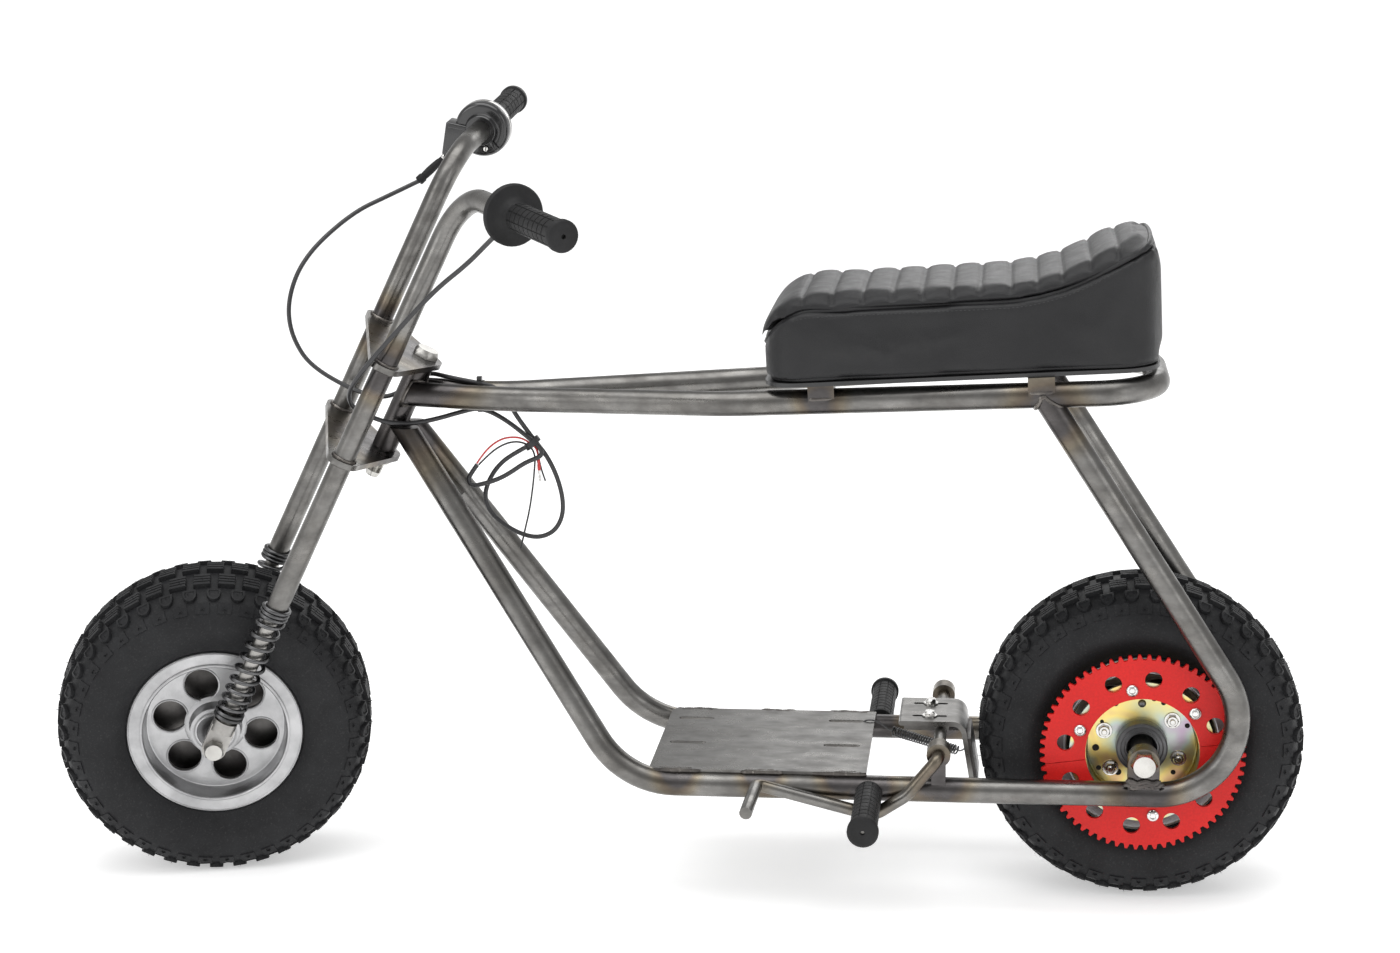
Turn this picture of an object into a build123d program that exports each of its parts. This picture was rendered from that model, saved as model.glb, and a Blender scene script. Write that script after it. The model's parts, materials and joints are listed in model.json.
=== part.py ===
import os
from math import cos, radians, sin, tan

from build123d import *

os.makedirs("parts", exist_ok=True)

# Sizes in mm. X points to the rear, Y to the rider's right and Z up, and the origin is on top of the
# seat where the rider sits.
seat_height = 637.0
rider_to_axle = 170.0
tyre_diameter = 330.0
wheelbase = 978.0

# Steering: the axis leans back by the rake, and the machine stands with its bars turned to the left.
rake = 26.2
fork_offset = 45.5
steer_angle = 16.0
head_rise = 347.0
head_length = 100.0
head_diameter = 25.4
stem_diameter = 15.9

# Frame tubing, placed from the rear axle.
tube_diameter = 25.4
lower_half_width = 100.0
lower_drop = 35.0
down_tube_run = 523.0
down_tube_rise = 41.0
front_bend = 95.0
rear_corner = 155.5
rear_bend = 78.0
upright_top_lead = 103.0
upright_half_width = 88.0
head_tube_pitch = 26.0
down_tube_cope = 316.0
gusset_end = (-708.7, 236.2)
gusset_thickness = 3.0
top_rail_rise = 66.0
rail_spread_lead = 663.0
rail_spread_height = 345.7
rail_bend_lead = 418.0
rail_bend_height = 352.3
rail_bend_half_width = 63.3
rail_loop_back = 8.0
rail_loop_height = 374.2
rail_loop_half_width = 96.4
rail_loop_bend = 56.0
rail_gentle_bend = 300.0

# Engine plate, foot pegs and gusset.
plate_front_lead = 498.0
plate_length = 221.5
plate_width = 201.0
plate_thickness = 3.2
slot_length = 38.0
slot_width = 8.5
slot_lead = 12.5
slot_spacing_x = 161.5
slot_spacing_y = 81.5
slot_side_offset = 25.0
peg_lead = 273.0
peg_bar_diameter = 16.0
peg_bar_reach = 228.0
peg_grip_diameter = 27.0
peg_grip_length = 114.0
peg_cap_diameter = 31.0
peg_hole_diameter = 7.0

# Wheels.
tyre_width = 124.0
lug_count = 40
lug_height = 6.0
lug_length = 17.5
crown_lug_in = 7.0
crown_lug_out = 31.0
shoulder_lug_length = 15.0
shoulder_lug_height = 4.4
shoulder_lug_in = 38.5
shoulder_out = 52.0
shoulder_drop = 8.0
bead_radius = 79.0
rim_flange_radius = 91.8
rim_width = 93.6
rim_wall = 4.0
hub_radius = 26.0
hub_half_width = 45.0
rim_hole_diameter = 35.0
rim_hole_circle = 97.0
rim_hole_count = 6
rim_hole_phase = 10.0
web_thickness = 5.0
web_inset = 20.0
bearing_outer = 40.0
bearing_length = 10.0
front_axle_diameter = 12.7
rear_axle_diameter = 15.9
running_gap = 0.3

# Sprocket, its cup-shaped carrier and the bearing housing.
sprocket_teeth = 66
chain_pitch = 9.525
sprocket_thickness = 4.2
sprocket_offset = 76.0
sprocket_bore = 114.0
sprocket_bolt_circle = 133.35
sprocket_bolt_count = 6
sprocket_bolt_phase = 40.0
sprocket_bolt_diameter = 6.4
sprocket_bolt_head = 13.0
sprocket_bolt_head_height = 3.5
window_diameter = 17.3
window_circle = 155.0
window_count = 12
window_phase = 23.0
seam_gap = 0.6
seam_angle = 8.0
carrier_flange_diameter = 146.0
carrier_wall = 3.0
carrier_floor_offset = 46.0
carrier_bolt_circle = 80.0
carrier_bolt_angles = (40.0, 160.0, 220.0, -20.0)
carrier_bolt_diameter = 6.4
carrier_bolt_across = 11.0
carrier_bolt_head_height = 4.5
housing_diameter = 52.0
housing_bore = 31.0
housing_offset = 60.0

# Rear axle mounts.
mount_width = 31.0
mount_thickness = 20.0
axle_head_across = 23.8
axle_head_height = 10.0
spacer_diameter = 23.0

# Fork, bars and grips, placed up the steering axis from the front axle.
bar_diameter = 22.2
fork_half_width = 83.0
fork_end_rise = 166.0
bar_corner_rise = 644.0
bar_end_back = 20.0
bar_end_half_width = 305.0
bar_end_rise = 687.5
bar_bend = 60.0
fork_plate_thickness = 6.0
fork_plate_end_radius = 17.0
fork_plate_ear_radius = 19.0
fork_plate_gap = 1.0
stem_head_across = 24.0
stem_head_height = 9.0
stem_tail = 26.0
slider_diameter = 15.9
slider_overlap = 55.0
collar_diameter = 25.0
collar_rise = 27.0
collar_height = 13.0
lug_radius = 12.5
lug_thickness = 10.0
axle_nut_across = 19.0
axle_nut_height = 9.0
axle_spacer_diameter = 20.0
spring_diameter = 31.5
spring_wire = 4.4
spring_lap = 7.0
grip_length = 118.0
grip_diameter = 28.0
grip_cap_diameter = 31.0
grip_cap_length = 8.0
grip_flange_diameter = 60.0
grip_flange_thickness = 6.0
throttle_diameter = 60.0
throttle_thickness = 24.0
throttle_block_reach = 39.0
throttle_block_depth = 26.0
throttle_block_drop = 36.0
throttle_block_lift = 1.5
throttle_block_tilt = -14.0
adjuster_inset = 4.5
adjuster_diameter = 7.0
adjuster_length = 9.0
boot_neck = 5.6
boot_diameter = 9.2
boot_collar_diameter = 10.2
boot_collar_length = 7.0

# Scrub brake.
brake_lead = 203.5
brake_rise = 4.0
brake_rod_diameter = 12.7
bushing_diameter = 24.0
bushing_length = 20.0
bushing_web = 14.0
lever_offset = 120.0
pedal_pin_length = 72.0
shoe_front_lead = 244.0
shoe_back_lead = 181.0
shoe_height = 17.0
shoe_width = 80.0
shoe_thickness = 5.0
shoe_bend = 12.0
shoe_leg_foot_lead = 169.0
shoe_leg_foot_drop = 58.0
shoe_pad_thickness = 3.0
shoe_pad_margin = 6.0
shoe_slot_length = 36.0
shoe_slot_width = 5.0
shoe_slot_spacing = 42.0
shoe_slot_lead = 215.0
arm_thickness = 6.0
arm_length = 46.0
arm_lead = 218.0
arm_margin = 5.0
brake_spring_diameter = 11.0
brake_hook_wire = 1.8
lever_knee = (235.0, -35.0)
lever_heel = (268.0, -57.0)
lever_toe = (386.0, -27.0)
pedal_pin_tip = (390.0, -32.0)
lever_bends = (7.5, 30.0, 22.0, 7.5)

# Seat.
seat_front_lead = 380.0
seat_rear_back = 12.0
seat_half_width = 98.0
seat_gap = 7.0
seat_tab_size = 26.0
seat_tab_leads = (322.0, 106.0)
pan_thickness = 4.0
pan_inset = 2.0
seat_corner = 36.0
seat_front_height = 30.0
seat_side_height = 69.5
seat_rear_height = 119.0
pad_crown = 16.0

# Cords, the ties that hold them and the red wire's terminal.
cord_diameter = 4.8
wire_diameter = 2.0
cord_clearance = 0.2
cord_tie_wall = 1.2
cord_tie_length = 7.0
rail_tie_width = 4.6
rail_tie_wall = 0.7
rail_tie_head_size = 5.0
terminal_diameter = 3.6
terminal_length = 12.0
crimp_diameter = 2.8
crimp_length = 12.0

ground_z = -seat_height
axle_z = ground_z + tyre_diameter / 2
rear_x = rider_to_axle
front_x = rear_x - wheelbase
tube_radius = tube_diameter / 2
bar_radius = bar_diameter / 2


def from_axle(back, right, up):
    """A point given from the middle of the rear axle."""
    return Vector(rear_x + back, right, axle_z + up)


# The steering axis, and the turned frame of the fork: x behind the axis, y to its right, z up along it.
axis_up = Vector(sin(radians(rake)), 0, cos(radians(rake)))
axis_back = Vector(cos(radians(rake)), 0, -sin(radians(rake)))
axis_foot = Vector(front_x, 0, axle_z) + axis_back * fork_offset
turned_back = axis_back * cos(radians(steer_angle)) + Vector(0, 1, 0) * sin(radians(steer_angle))
fork_frame = Plane(origin=axis_foot, x_dir=turned_back, z_dir=axis_up)
head_frame = Plane(origin=axis_foot, x_dir=axis_back, z_dir=axis_up)


def on_fork(back, right, up):
    """A point given in the turned frame of the fork."""
    return fork_frame.from_local_coords(Vector(back, right, up))


def fork_section(up):
    """The plane across the steering axis at a height above the front axle."""
    return fork_frame.offset(up)


def wheel_plane(centre, lateral, back):
    """A wheel's section plane: x along its axle to the rider's right, y up in the plane of the wheel."""
    return Plane(origin=centre, x_dir=lateral, z_dir=back)


def facing(plane, side, offset):
    """The plane parallel to the wheel, at an offset on the left (-1) or right (1), that faces outwards."""
    return Plane(origin=plane.origin + plane.x_dir * side * offset, x_dir=-side * plane.z_dir, z_dir=side * plane.x_dir)


rear_wheel = wheel_plane(from_axle(0, 0, 0), (0, 1, 0), (1, 0, 0))
front_wheel = wheel_plane(on_fork(-fork_offset, 0, 0), fork_frame.y_dir, fork_frame.x_dir)


def bent_tube(points, radii, diameter):
    """A solid tube along straight runs joined by arcs."""
    with BuildPart() as tube:
        with BuildLine() as path:
            FilletPolyline(*points, radius=radii)
        start = path.line @ 0
        with BuildSketch(Plane(origin=start, z_dir=path.line % 0)):
            Circle(diameter / 2)
        sweep()
    return tube.part


def round_bar(start, end, diameter):
    """A solid bar between two points."""
    with BuildPart() as bar:
        with BuildSketch(Plane(origin=start, z_dir=(Vector(*end) - Vector(*start)).normalized())):
            Circle(diameter / 2)
        extrude(amount=(Vector(*end) - Vector(*start)).length)
    return bar.part


pieces = {}

# Head tube: a plain sleeve round the stem bolt.
with BuildPart() as head_tube:
    with BuildSketch(head_frame.offset(head_rise)):
        Circle(head_diameter / 2)
        Circle(stem_diameter / 2 + running_gap, mode=Mode.SUBTRACT)
    extrude(amount=head_length)
pieces["head_tube"] = head_tube

head_solid = round_bar(
    head_frame.from_local_coords(Vector(0, 0, head_rise)),
    head_frame.from_local_coords(Vector(0, 0, head_rise + head_length)),
    head_diameter,
)

# Top rails: one tube that runs back from the head, round behind the seat and forward again.
rail_start = head_frame.from_local_coords(Vector(0, 0, head_rise + top_rail_rise))
half_pitch = head_tube_pitch / 2
left_rail_points = [
    rail_start + Vector(4, -half_pitch, 0),
    from_axle(-rail_spread_lead, -half_pitch, rail_spread_height),
    from_axle(-rail_bend_lead, -rail_bend_half_width, rail_bend_height),
    from_axle(rail_loop_back, -rail_loop_half_width, rail_loop_height),
]
right_rail_points = [Vector(p.X, -p.Y, p.Z) for p in reversed(left_rail_points)]
rail_radii = [rail_gentle_bend, rail_gentle_bend, rail_loop_bend, rail_loop_bend, rail_gentle_bend, rail_gentle_bend]
with BuildPart() as top_rails:
    add(bent_tube(left_rail_points + right_rail_points, rail_radii, tube_diameter))
    add(head_solid, mode=Mode.SUBTRACT)
pieces["top_rails"] = top_rails

# Lower loops: down tube, floor rail, rear bend and seat upright of each side are one tube.
down_start = head_frame.from_local_coords(Vector(0, 0, head_rise + down_tube_rise))
for side, name in ((-1, "left"), (1, "right")):
    loop_points = [
        down_start + Vector(0, side * half_pitch, 0),
        from_axle(-down_tube_run, side * lower_half_width, -lower_drop),
        from_axle(rear_corner, side * lower_half_width, -lower_drop),
        from_axle(-upright_top_lead, side * upright_half_width, rail_loop_height - 6),
    ]
    with BuildPart() as loop:
        add(bent_tube(loop_points, [front_bend, rear_bend], tube_diameter))
        with BuildSketch(Plane(from_axle(down_start.X - rear_x, side * half_pitch, down_tube_cope))):
            Rectangle(3 * tube_diameter, 3 * tube_diameter)
        extrude(amount=2 * tube_diameter, mode=Mode.SUBTRACT)
        add(head_solid, mode=Mode.SUBTRACT)
        add(top_rails.part, mode=Mode.SUBTRACT)
    pieces[f"{name}_loop"] = loop

# Gusset: a small plate that fills the fork between the two down tubes.
down_foot = from_axle(-down_tube_run, 0, -lower_drop)
gusset_plane = Plane(origin=down_start, x_dir=(0, 1, 0), z_dir=Vector(0, 1, 0).cross(down_foot - down_start))
gusset_low = gusset_plane.to_local_coords(from_axle(gusset_end[0], 0, gusset_end[1])).Y
gusset_high = 0.4 * gusset_low
with BuildPart() as gusset:
    with BuildSketch(gusset_plane):
        with Locations((0, (gusset_low + gusset_high) / 2)):
            Rectangle(4 * half_pitch, abs(gusset_low - gusset_high))
    extrude(amount=gusset_thickness / 2, both=True)
    for name in ("left", "right"):
        add(pieces[f"{name}_loop"].part, mode=Mode.SUBTRACT)
pieces["gusset"] = gusset

# Engine plate on top of the floor rails, with slots for the engine's four bolts.
plate_z = -lower_drop + tube_radius
with BuildPart() as engine_plate:
    with BuildSketch(Plane(from_axle(-plate_front_lead + plate_length / 2, 0, plate_z))):
        Rectangle(plate_length, plate_width)
        with Locations((0, slot_side_offset)):
            with GridLocations(slot_spacing_x, slot_spacing_y, 2, 2):
                SlotOverall(slot_length, slot_width, mode=Mode.SUBTRACT)
    extrude(amount=plate_thickness)
    for name in ("left", "right"):
        add(pieces[f"{name}_loop"].part, mode=Mode.SUBTRACT)
pieces["engine_plate"] = engine_plate

# Foot pegs: a bar welded to the outside of each floor rail, with a rubber grip pushed on.
for side, name in ((-1, "left"), (1, "right")):
    peg_root = from_axle(-peg_lead, side * lower_half_width, -lower_drop)
    peg_plane = Plane(origin=peg_root, x_dir=(1, 0, 0), z_dir=(0, side, 0))
    with BuildPart() as peg_bar:
        with BuildSketch(peg_plane):
            Circle(peg_bar_diameter / 2)
        extrude(amount=peg_bar_reach - lower_half_width)
        add(pieces[f"{name}_loop"].part, mode=Mode.SUBTRACT)
    pieces[f"{name}_peg_bar"] = peg_bar
    grip_start = peg_bar_reach - lower_half_width + 3 - peg_grip_length
    with BuildPart() as peg_grip:
        with BuildSketch(peg_plane.offset(grip_start)):
            Circle(peg_grip_diameter / 2)
        extrude(amount=peg_grip_length)
        with BuildSketch(peg_plane.offset(grip_start + peg_grip_length - grip_cap_length)):
            Circle(peg_cap_diameter / 2)
        extrude(amount=grip_cap_length)
        with BuildSketch(peg_plane.offset(grip_start)):
            Circle(peg_bar_diameter / 2)
        extrude(amount=peg_bar_reach - lower_half_width - grip_start, mode=Mode.SUBTRACT)
        with BuildSketch(peg_plane):
            Circle(peg_hole_diameter / 2)
        extrude(amount=peg_bar_reach, mode=Mode.SUBTRACT)
    pieces[f"{name}_peg_grip"] = peg_grip

# Seat: tabs on the rails carry a pan, the upholstered sides stand on it and the pad lies on them.
rail_slope_run = rail_bend_lead + rail_loop_back
rail_slope = (rail_loop_height - rail_bend_height) / rail_slope_run


def rail_top(back):
    """Height above the rear axle of the rails' top line at a distance behind the axle."""
    return rail_loop_height + rail_slope * (back - rail_loop_back) + tube_radius


def rail_half_width(back):
    """Half the distance between the rails' centres under the seat."""
    spread = (rail_loop_half_width - rail_bend_half_width) / rail_slope_run
    return rail_loop_half_width + spread * (back - rail_loop_back)


seat_x_dir = Vector(1, 0, rail_slope).normalized()
seat_base = Plane(
    origin=from_axle(-seat_front_lead, 0, rail_top(-seat_front_lead) + seat_gap),
    x_dir=seat_x_dir,
    z_dir=Vector(-seat_x_dir.Z, 0, seat_x_dir.X),
)
seat_length = seat_front_lead + seat_rear_back
with BuildPart() as seat_tabs:
    for lead in seat_tab_leads:
        along = seat_front_lead - lead
        for side in (-1, 1):
            with BuildSketch(seat_base):
                with Locations((along, side * rail_half_width(-lead))):
                    Rectangle(seat_tab_size, seat_tab_size)
            extrude(amount=-seat_gap - tube_radius)
    add(top_rails.part, mode=Mode.SUBTRACT)
pieces["seat_tabs"] = seat_tabs

with BuildPart() as seat_pan:
    with BuildSketch(seat_base):
        with Locations((seat_length / 2, 0)):
            RectangleRounded(seat_length - 2 * pan_inset, 2 * (seat_half_width - pan_inset), seat_corner)
    extrude(amount=pan_thickness)
pieces["seat_pan"] = seat_pan

seat_side = Plane(
    origin=seat_base.origin + seat_base.z_dir * pan_thickness,
    x_dir=seat_base.x_dir,
    z_dir=(0, -1, 0),
)
past_seat = 20.0


def seat_block(low, high):
    """The part of the seat's rounded block that lies in a side profile between two lines."""
    with BuildPart() as block:
        with BuildSketch(seat_base.offset(pan_thickness)):
            with Locations((seat_length / 2, 0)):
                RectangleRounded(seat_length, 2 * seat_half_width, seat_corner)
        extrude(amount=seat_rear_height + past_seat)
        with BuildSketch(seat_side):
            with BuildLine():
                add(low)
                add(high)
                Line(low @ 0, high @ 0)
                Line(low @ 1, high @ 1)
            make_face()
        extrude(amount=seat_half_width + past_seat, both=True, mode=Mode.INTERSECT)
    return block


def seat_line(front, nose, dip, rise, rear):
    """A line along the seat's side: up round the nose, level to the dip, then up to the rear."""
    with BuildLine() as line:
        Line((-past_seat, front), (-1, front))
        start = ThreePointArc((-1, front), (0.28 * nose[0], 0.36 * front + 0.64 * nose[1]), nose)
        level = Line(start @ 1, dip)
        climb = TangentArc(level @ 1, rise, tangent=(1, 0))
        crest = TangentArc(climb @ 1, rear, tangent=climb % 1)
        Line(crest @ 1, (seat_length + past_seat, (crest @ 1).Y))
    return line.line


with BuildLine() as seat_floor:
    Line((-past_seat, -past_seat), (seat_length + past_seat, -past_seat))
piping_line = seat_line(
    seat_front_height, (52, seat_side_height), (238, seat_side_height), (330, 90), (seat_length, seat_rear_height)
)
crown_line = seat_line(
    seat_front_height + 10, (48, seat_side_height + pad_crown - 2), (235, seat_side_height + pad_crown - 2),
    (330, 106), (seat_length, seat_rear_height + 7),
)
pieces["seat_body"] = seat_block(seat_floor.line, piping_line)
pieces["seat_pad"] = seat_block(piping_line, crown_line)


def lug_row(section, length, start):
    """A row of lugs round the X axis: a ring with this section, cut to lengths along the tyre."""
    with BuildPart() as row:
        with BuildSketch(Plane.XY):
            Polygon(*section, align=None)
        revolve(axis=Axis.X)
        with BuildSketch(Plane.YZ):
            with PolarLocations(tyre_diameter / 2, lug_count, start_angle=start):
                Rectangle(8 * lug_height, length)
        extrude(amount=tyre_width, both=True, mode=Mode.INTERSECT)
    return row.part


def tyre_body():
    """The tyre about the X axis: a round carcass on its bead seats, and four rows of lugs on its tread."""
    radius = tyre_diameter / 2
    base = radius - lug_height
    half = tyre_width / 2
    rim_inside = rim_width / 2 - rim_wall
    fall = shoulder_drop / (shoulder_out - crown_lug_out)
    outward = Vector(fall, 1).normalized()
    shoulder_top = Vector(shoulder_lug_in, base - fall * (shoulder_lug_in - crown_lug_out))
    shoulder_foot = Vector(shoulder_out, base - shoulder_drop)
    crown_section = [
        (crown_lug_in, base - 1), (crown_lug_out, base - 1), (crown_lug_out, radius), (crown_lug_in, radius)
    ]
    shoulder_section = [
        shoulder_top - outward, shoulder_foot - outward,
        shoulder_foot + outward * shoulder_lug_height, shoulder_top + outward * shoulder_lug_height,
    ]
    half_pitch_turn = 180 / lug_count
    rows = []
    for side, start in ((-1, 0), (1, half_pitch_turn)):
        for section, length, turn in (
            (crown_section, lug_length, start), (shoulder_section, shoulder_lug_length, start + half_pitch_turn)
        ):
            rows.append(lug_row([(side * x, y) for x, y in (tuple(p)[:2] for p in section)], length, turn))
    with BuildPart() as body:
        with BuildSketch(Plane.XY):
            with BuildLine():
                Polyline(
                    (0, bead_radius), (rim_inside, bead_radius), (rim_inside, rim_flange_radius),
                    (half - 5, rim_flange_radius + 11), (half, rim_flange_radius + 31), (half - 2, radius - 27),
                    (shoulder_out, base - shoulder_drop), (crown_lug_out, base), (0, base), close=True,
                )
            make_face()
            mirror(about=Plane.YZ)
        revolve(axis=Axis.X)
        for row in rows:
            add(row)
    return body.part


tyre_solid = tyre_body()


def tyre(plane):
    """The tyre on a wheel."""
    with BuildPart() as rubber:
        with Locations(plane.location):
            add(tyre_solid)
    return rubber


def rim(plane):
    """A two-web disc rim with six round holes and a hub barrel for the bearings."""
    flange_out = rim_width / 2
    flange_in = flange_out - rim_wall
    web_out = flange_out - web_inset
    barrel = bead_radius - rim_wall
    with BuildPart() as wheel:
        with BuildSketch(plane):
            with BuildLine():
                Polyline(
                    (0, bead_radius), (flange_in, bead_radius), (flange_in, rim_flange_radius),
                    (flange_out, rim_flange_radius), (flange_out, barrel), (web_out, barrel),
                    (web_out, hub_radius), (hub_half_width, hub_radius), (hub_half_width, bearing_outer / 2),
                    (hub_half_width - bearing_length, bearing_outer / 2),
                    (hub_half_width - bearing_length, bearing_outer / 2 - 4),
                    (0, bearing_outer / 2 - 4), (0, hub_radius), (web_out - web_thickness, hub_radius),
                    (web_out - web_thickness, barrel), (0, barrel), (0, bead_radius),
                )
            make_face()
            mirror(about=Plane.YZ)
        revolve(axis=Axis(plane.origin, plane.x_dir))
        with BuildSketch(facing(plane, -1, flange_out)):
            with PolarLocations(rim_hole_circle / 2, rim_hole_count, start_angle=rim_hole_phase):
                Circle(rim_hole_diameter / 2)
        extrude(amount=-rim_width, mode=Mode.SUBTRACT)
    return wheel


def bearings(plane, bore):
    """The two sealed bearings pressed into a hub."""
    with BuildPart() as pair:
        for side in (-1, 1):
            with BuildSketch(facing(plane, side, hub_half_width)):
                Circle(bearing_outer / 2)
                Circle(bore / 2 + running_gap, mode=Mode.SUBTRACT)
            extrude(amount=-bearing_length)
    return pair


for end, plane, bore in (("front", front_wheel, front_axle_diameter), ("rear", rear_wheel, rear_axle_diameter)):
    pieces[f"{end}_tyre"] = tyre(plane)
    pieces[f"{end}_rim"] = rim(plane)
    pieces[f"{end}_bearings"] = bearings(plane, bore)

# Sprocket: two toothed halves, split along a line through the middle, bolted to a cup-shaped carrier.
pitch_radius = chain_pitch / 2 / sin(radians(180 / sprocket_teeth))
tip_radius = pitch_radius + 0.2 * chain_pitch
root_radius = pitch_radius - 0.27 * chain_pitch
sprocket_face = facing(rear_wheel, -1, sprocket_offset)
sprocket_in = -sprocket_offset + sprocket_thickness


def sprocket_half(phase):
    """Half of the ring, cut off along the seam, with its share of teeth, windows and bolt holes."""
    with BuildPart() as half_ring_part:
        with BuildSketch(sprocket_face):
            Circle(root_radius)
            with PolarLocations((root_radius + tip_radius) / 2, sprocket_teeth):
                Trapezoid(0.66 * chain_pitch, tip_radius - root_radius + 1, 70, rotation=-90)
            Circle(sprocket_bore / 2, mode=Mode.SUBTRACT)
            with PolarLocations(window_circle / 2, window_count, start_angle=window_phase):
                Circle(window_diameter / 2, mode=Mode.SUBTRACT)
            with PolarLocations(sprocket_bolt_circle / 2, sprocket_bolt_count, start_angle=sprocket_bolt_phase):
                Circle(sprocket_bolt_diameter / 2 + 0.2, mode=Mode.SUBTRACT)
        extrude(amount=-sprocket_thickness)
        with BuildSketch(sprocket_face):
            with Locations(Rotation(0, 0, phase)):
                with Locations((0, -tip_radius + seam_gap / 2)):
                    Rectangle(3 * tip_radius, 2 * tip_radius)
        extrude(amount=-sprocket_thickness, mode=Mode.SUBTRACT)
    return half_ring_part


pieces["sprocket_upper"] = sprocket_half(seam_angle)
pieces["sprocket_lower"] = sprocket_half(seam_angle + 180)

carrier_face = facing(rear_wheel, -1, carrier_floor_offset)
with BuildPart() as sprocket_carrier:
    cup = sprocket_bore / 2 - 0.5
    with BuildSketch(rear_wheel):
        with BuildLine():
            Polyline(
                (sprocket_in, cup), (sprocket_in, carrier_flange_diameter / 2),
                (sprocket_in + carrier_wall, carrier_flange_diameter / 2), (sprocket_in + carrier_wall, cup + carrier_wall),
                (-carrier_floor_offset + carrier_wall, cup + carrier_wall),
                (-carrier_floor_offset + carrier_wall, housing_diameter / 2),
                (-carrier_floor_offset, housing_diameter / 2), (-carrier_floor_offset, cup),
                close=True,
            )
        make_face()
    revolve(axis=Axis(rear_wheel.origin, rear_wheel.x_dir))
    with BuildSketch(facing(rear_wheel, -1, -sprocket_in)):
        with PolarLocations(sprocket_bolt_circle / 2, sprocket_bolt_count, start_angle=sprocket_bolt_phase):
            Circle(sprocket_bolt_diameter / 2 + 0.2)
    extrude(amount=-carrier_wall, mode=Mode.SUBTRACT)
    for angle in carrier_bolt_angles:
        with BuildSketch(carrier_face):
            with PolarLocations(carrier_bolt_circle / 2, 1, start_angle=angle):
                Circle(carrier_bolt_diameter / 2 + 0.2)
        extrude(amount=-carrier_wall, mode=Mode.SUBTRACT)
pieces["sprocket_carrier"] = sprocket_carrier

# Four bolts hold the carrier to the wheel's web.
with BuildPart() as carrier_bolts:
    for angle in carrier_bolt_angles:
        with BuildSketch(carrier_face):
            with PolarLocations(carrier_bolt_circle / 2, 1, start_angle=angle):
                Circle(carrier_bolt_diameter / 2)
        extrude(amount=-(carrier_floor_offset - rim_width / 2 + web_inset))
        with BuildSketch(carrier_face):
            with PolarLocations(carrier_bolt_circle / 2, 1, start_angle=angle):
                RegularPolygon(carrier_bolt_across / 2, 6, major_radius=False)
        extrude(amount=carrier_bolt_head_height)
pieces["carrier_bolts"] = carrier_bolts

with BuildPart() as sprocket_bolts:
    with BuildSketch(sprocket_face):
        with PolarLocations(sprocket_bolt_circle / 2, sprocket_bolt_count, start_angle=sprocket_bolt_phase):
            Circle(sprocket_bolt_diameter / 2)
    extrude(amount=-sprocket_thickness - carrier_wall)
    with BuildSketch(sprocket_face):
        with PolarLocations(sprocket_bolt_circle / 2, sprocket_bolt_count, start_angle=sprocket_bolt_phase):
            Circle(sprocket_bolt_head / 2)
    extrude(amount=sprocket_bolt_head_height)
pieces["sprocket_bolts"] = sprocket_bolts

with BuildPart() as hub_housing:
    with BuildSketch(facing(rear_wheel, -1, hub_half_width)):
        Circle(housing_diameter / 2)
        Circle(housing_bore / 2, mode=Mode.SUBTRACT)
    extrude(amount=housing_offset - hub_half_width)
pieces["hub_housing"] = hub_housing

# Rear axle: mounts on the floor rails, a long bolt, and the spacers that hold the bearings apart.
mount_in = lower_half_width - mount_thickness / 2
mount_out = lower_half_width + mount_thickness / 2
for side, name in ((-1, "left"), (1, "right")):
    with BuildPart() as mount:
        with BuildSketch(facing(rear_wheel, side, mount_in)):
            Circle(mount_width / 2)
            with Locations((0, -lower_drop / 2)):
                Rectangle(mount_width, lower_drop)
            Circle(rear_axle_diameter / 2 + 0.1, mode=Mode.SUBTRACT)
        extrude(amount=mount_thickness)
        add(pieces[f"{name}_loop"].part, mode=Mode.SUBTRACT)
    pieces[f"{name}_axle_mount"] = mount

with BuildPart() as rear_axle:
    with BuildSketch(facing(rear_wheel, -1, mount_out)):
        Circle(rear_axle_diameter / 2)
    extrude(amount=-2 * mount_out)
    for side in (-1, 1):
        with BuildSketch(facing(rear_wheel, side, mount_out)):
            RegularPolygon(axle_head_across / 2, 6, major_radius=False)
        extrude(amount=axle_head_height)
pieces["rear_axle"] = rear_axle

with BuildPart() as rear_spacers:
    for side in (-1, 1):
        with BuildSketch(facing(rear_wheel, side, hub_half_width + running_gap)):
            Circle(spacer_diameter / 2)
            Circle(rear_axle_diameter / 2 + 0.1, mode=Mode.SUBTRACT)
        extrude(amount=mount_in - hub_half_width - running_gap)
pieces["rear_spacers"] = rear_spacers

# Fork and bars: each side is one bent tube from the slider's mouth to the grip.
bar_lines = {}
for side, name in ((-1, "left"), (1, "right")):
    bar_points = [
        on_fork(-fork_offset, side * fork_half_width, fork_end_rise),
        on_fork(-fork_offset, side * fork_half_width, bar_corner_rise),
        on_fork(bar_end_back, side * bar_end_half_width, bar_end_rise),
    ]
    with BuildPart() as fork_tube:
        add(bent_tube(bar_points, [bar_bend], bar_diameter))
        with BuildSketch(Plane(bar_points[0], x_dir=turned_back, z_dir=axis_up)):
            Circle(slider_diameter / 2 + running_gap)
        extrude(amount=slider_overlap + 2, mode=Mode.SUBTRACT)
    pieces[f"{name}_fork_tube"] = fork_tube
    bar_lines[name] = bar_points

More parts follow.
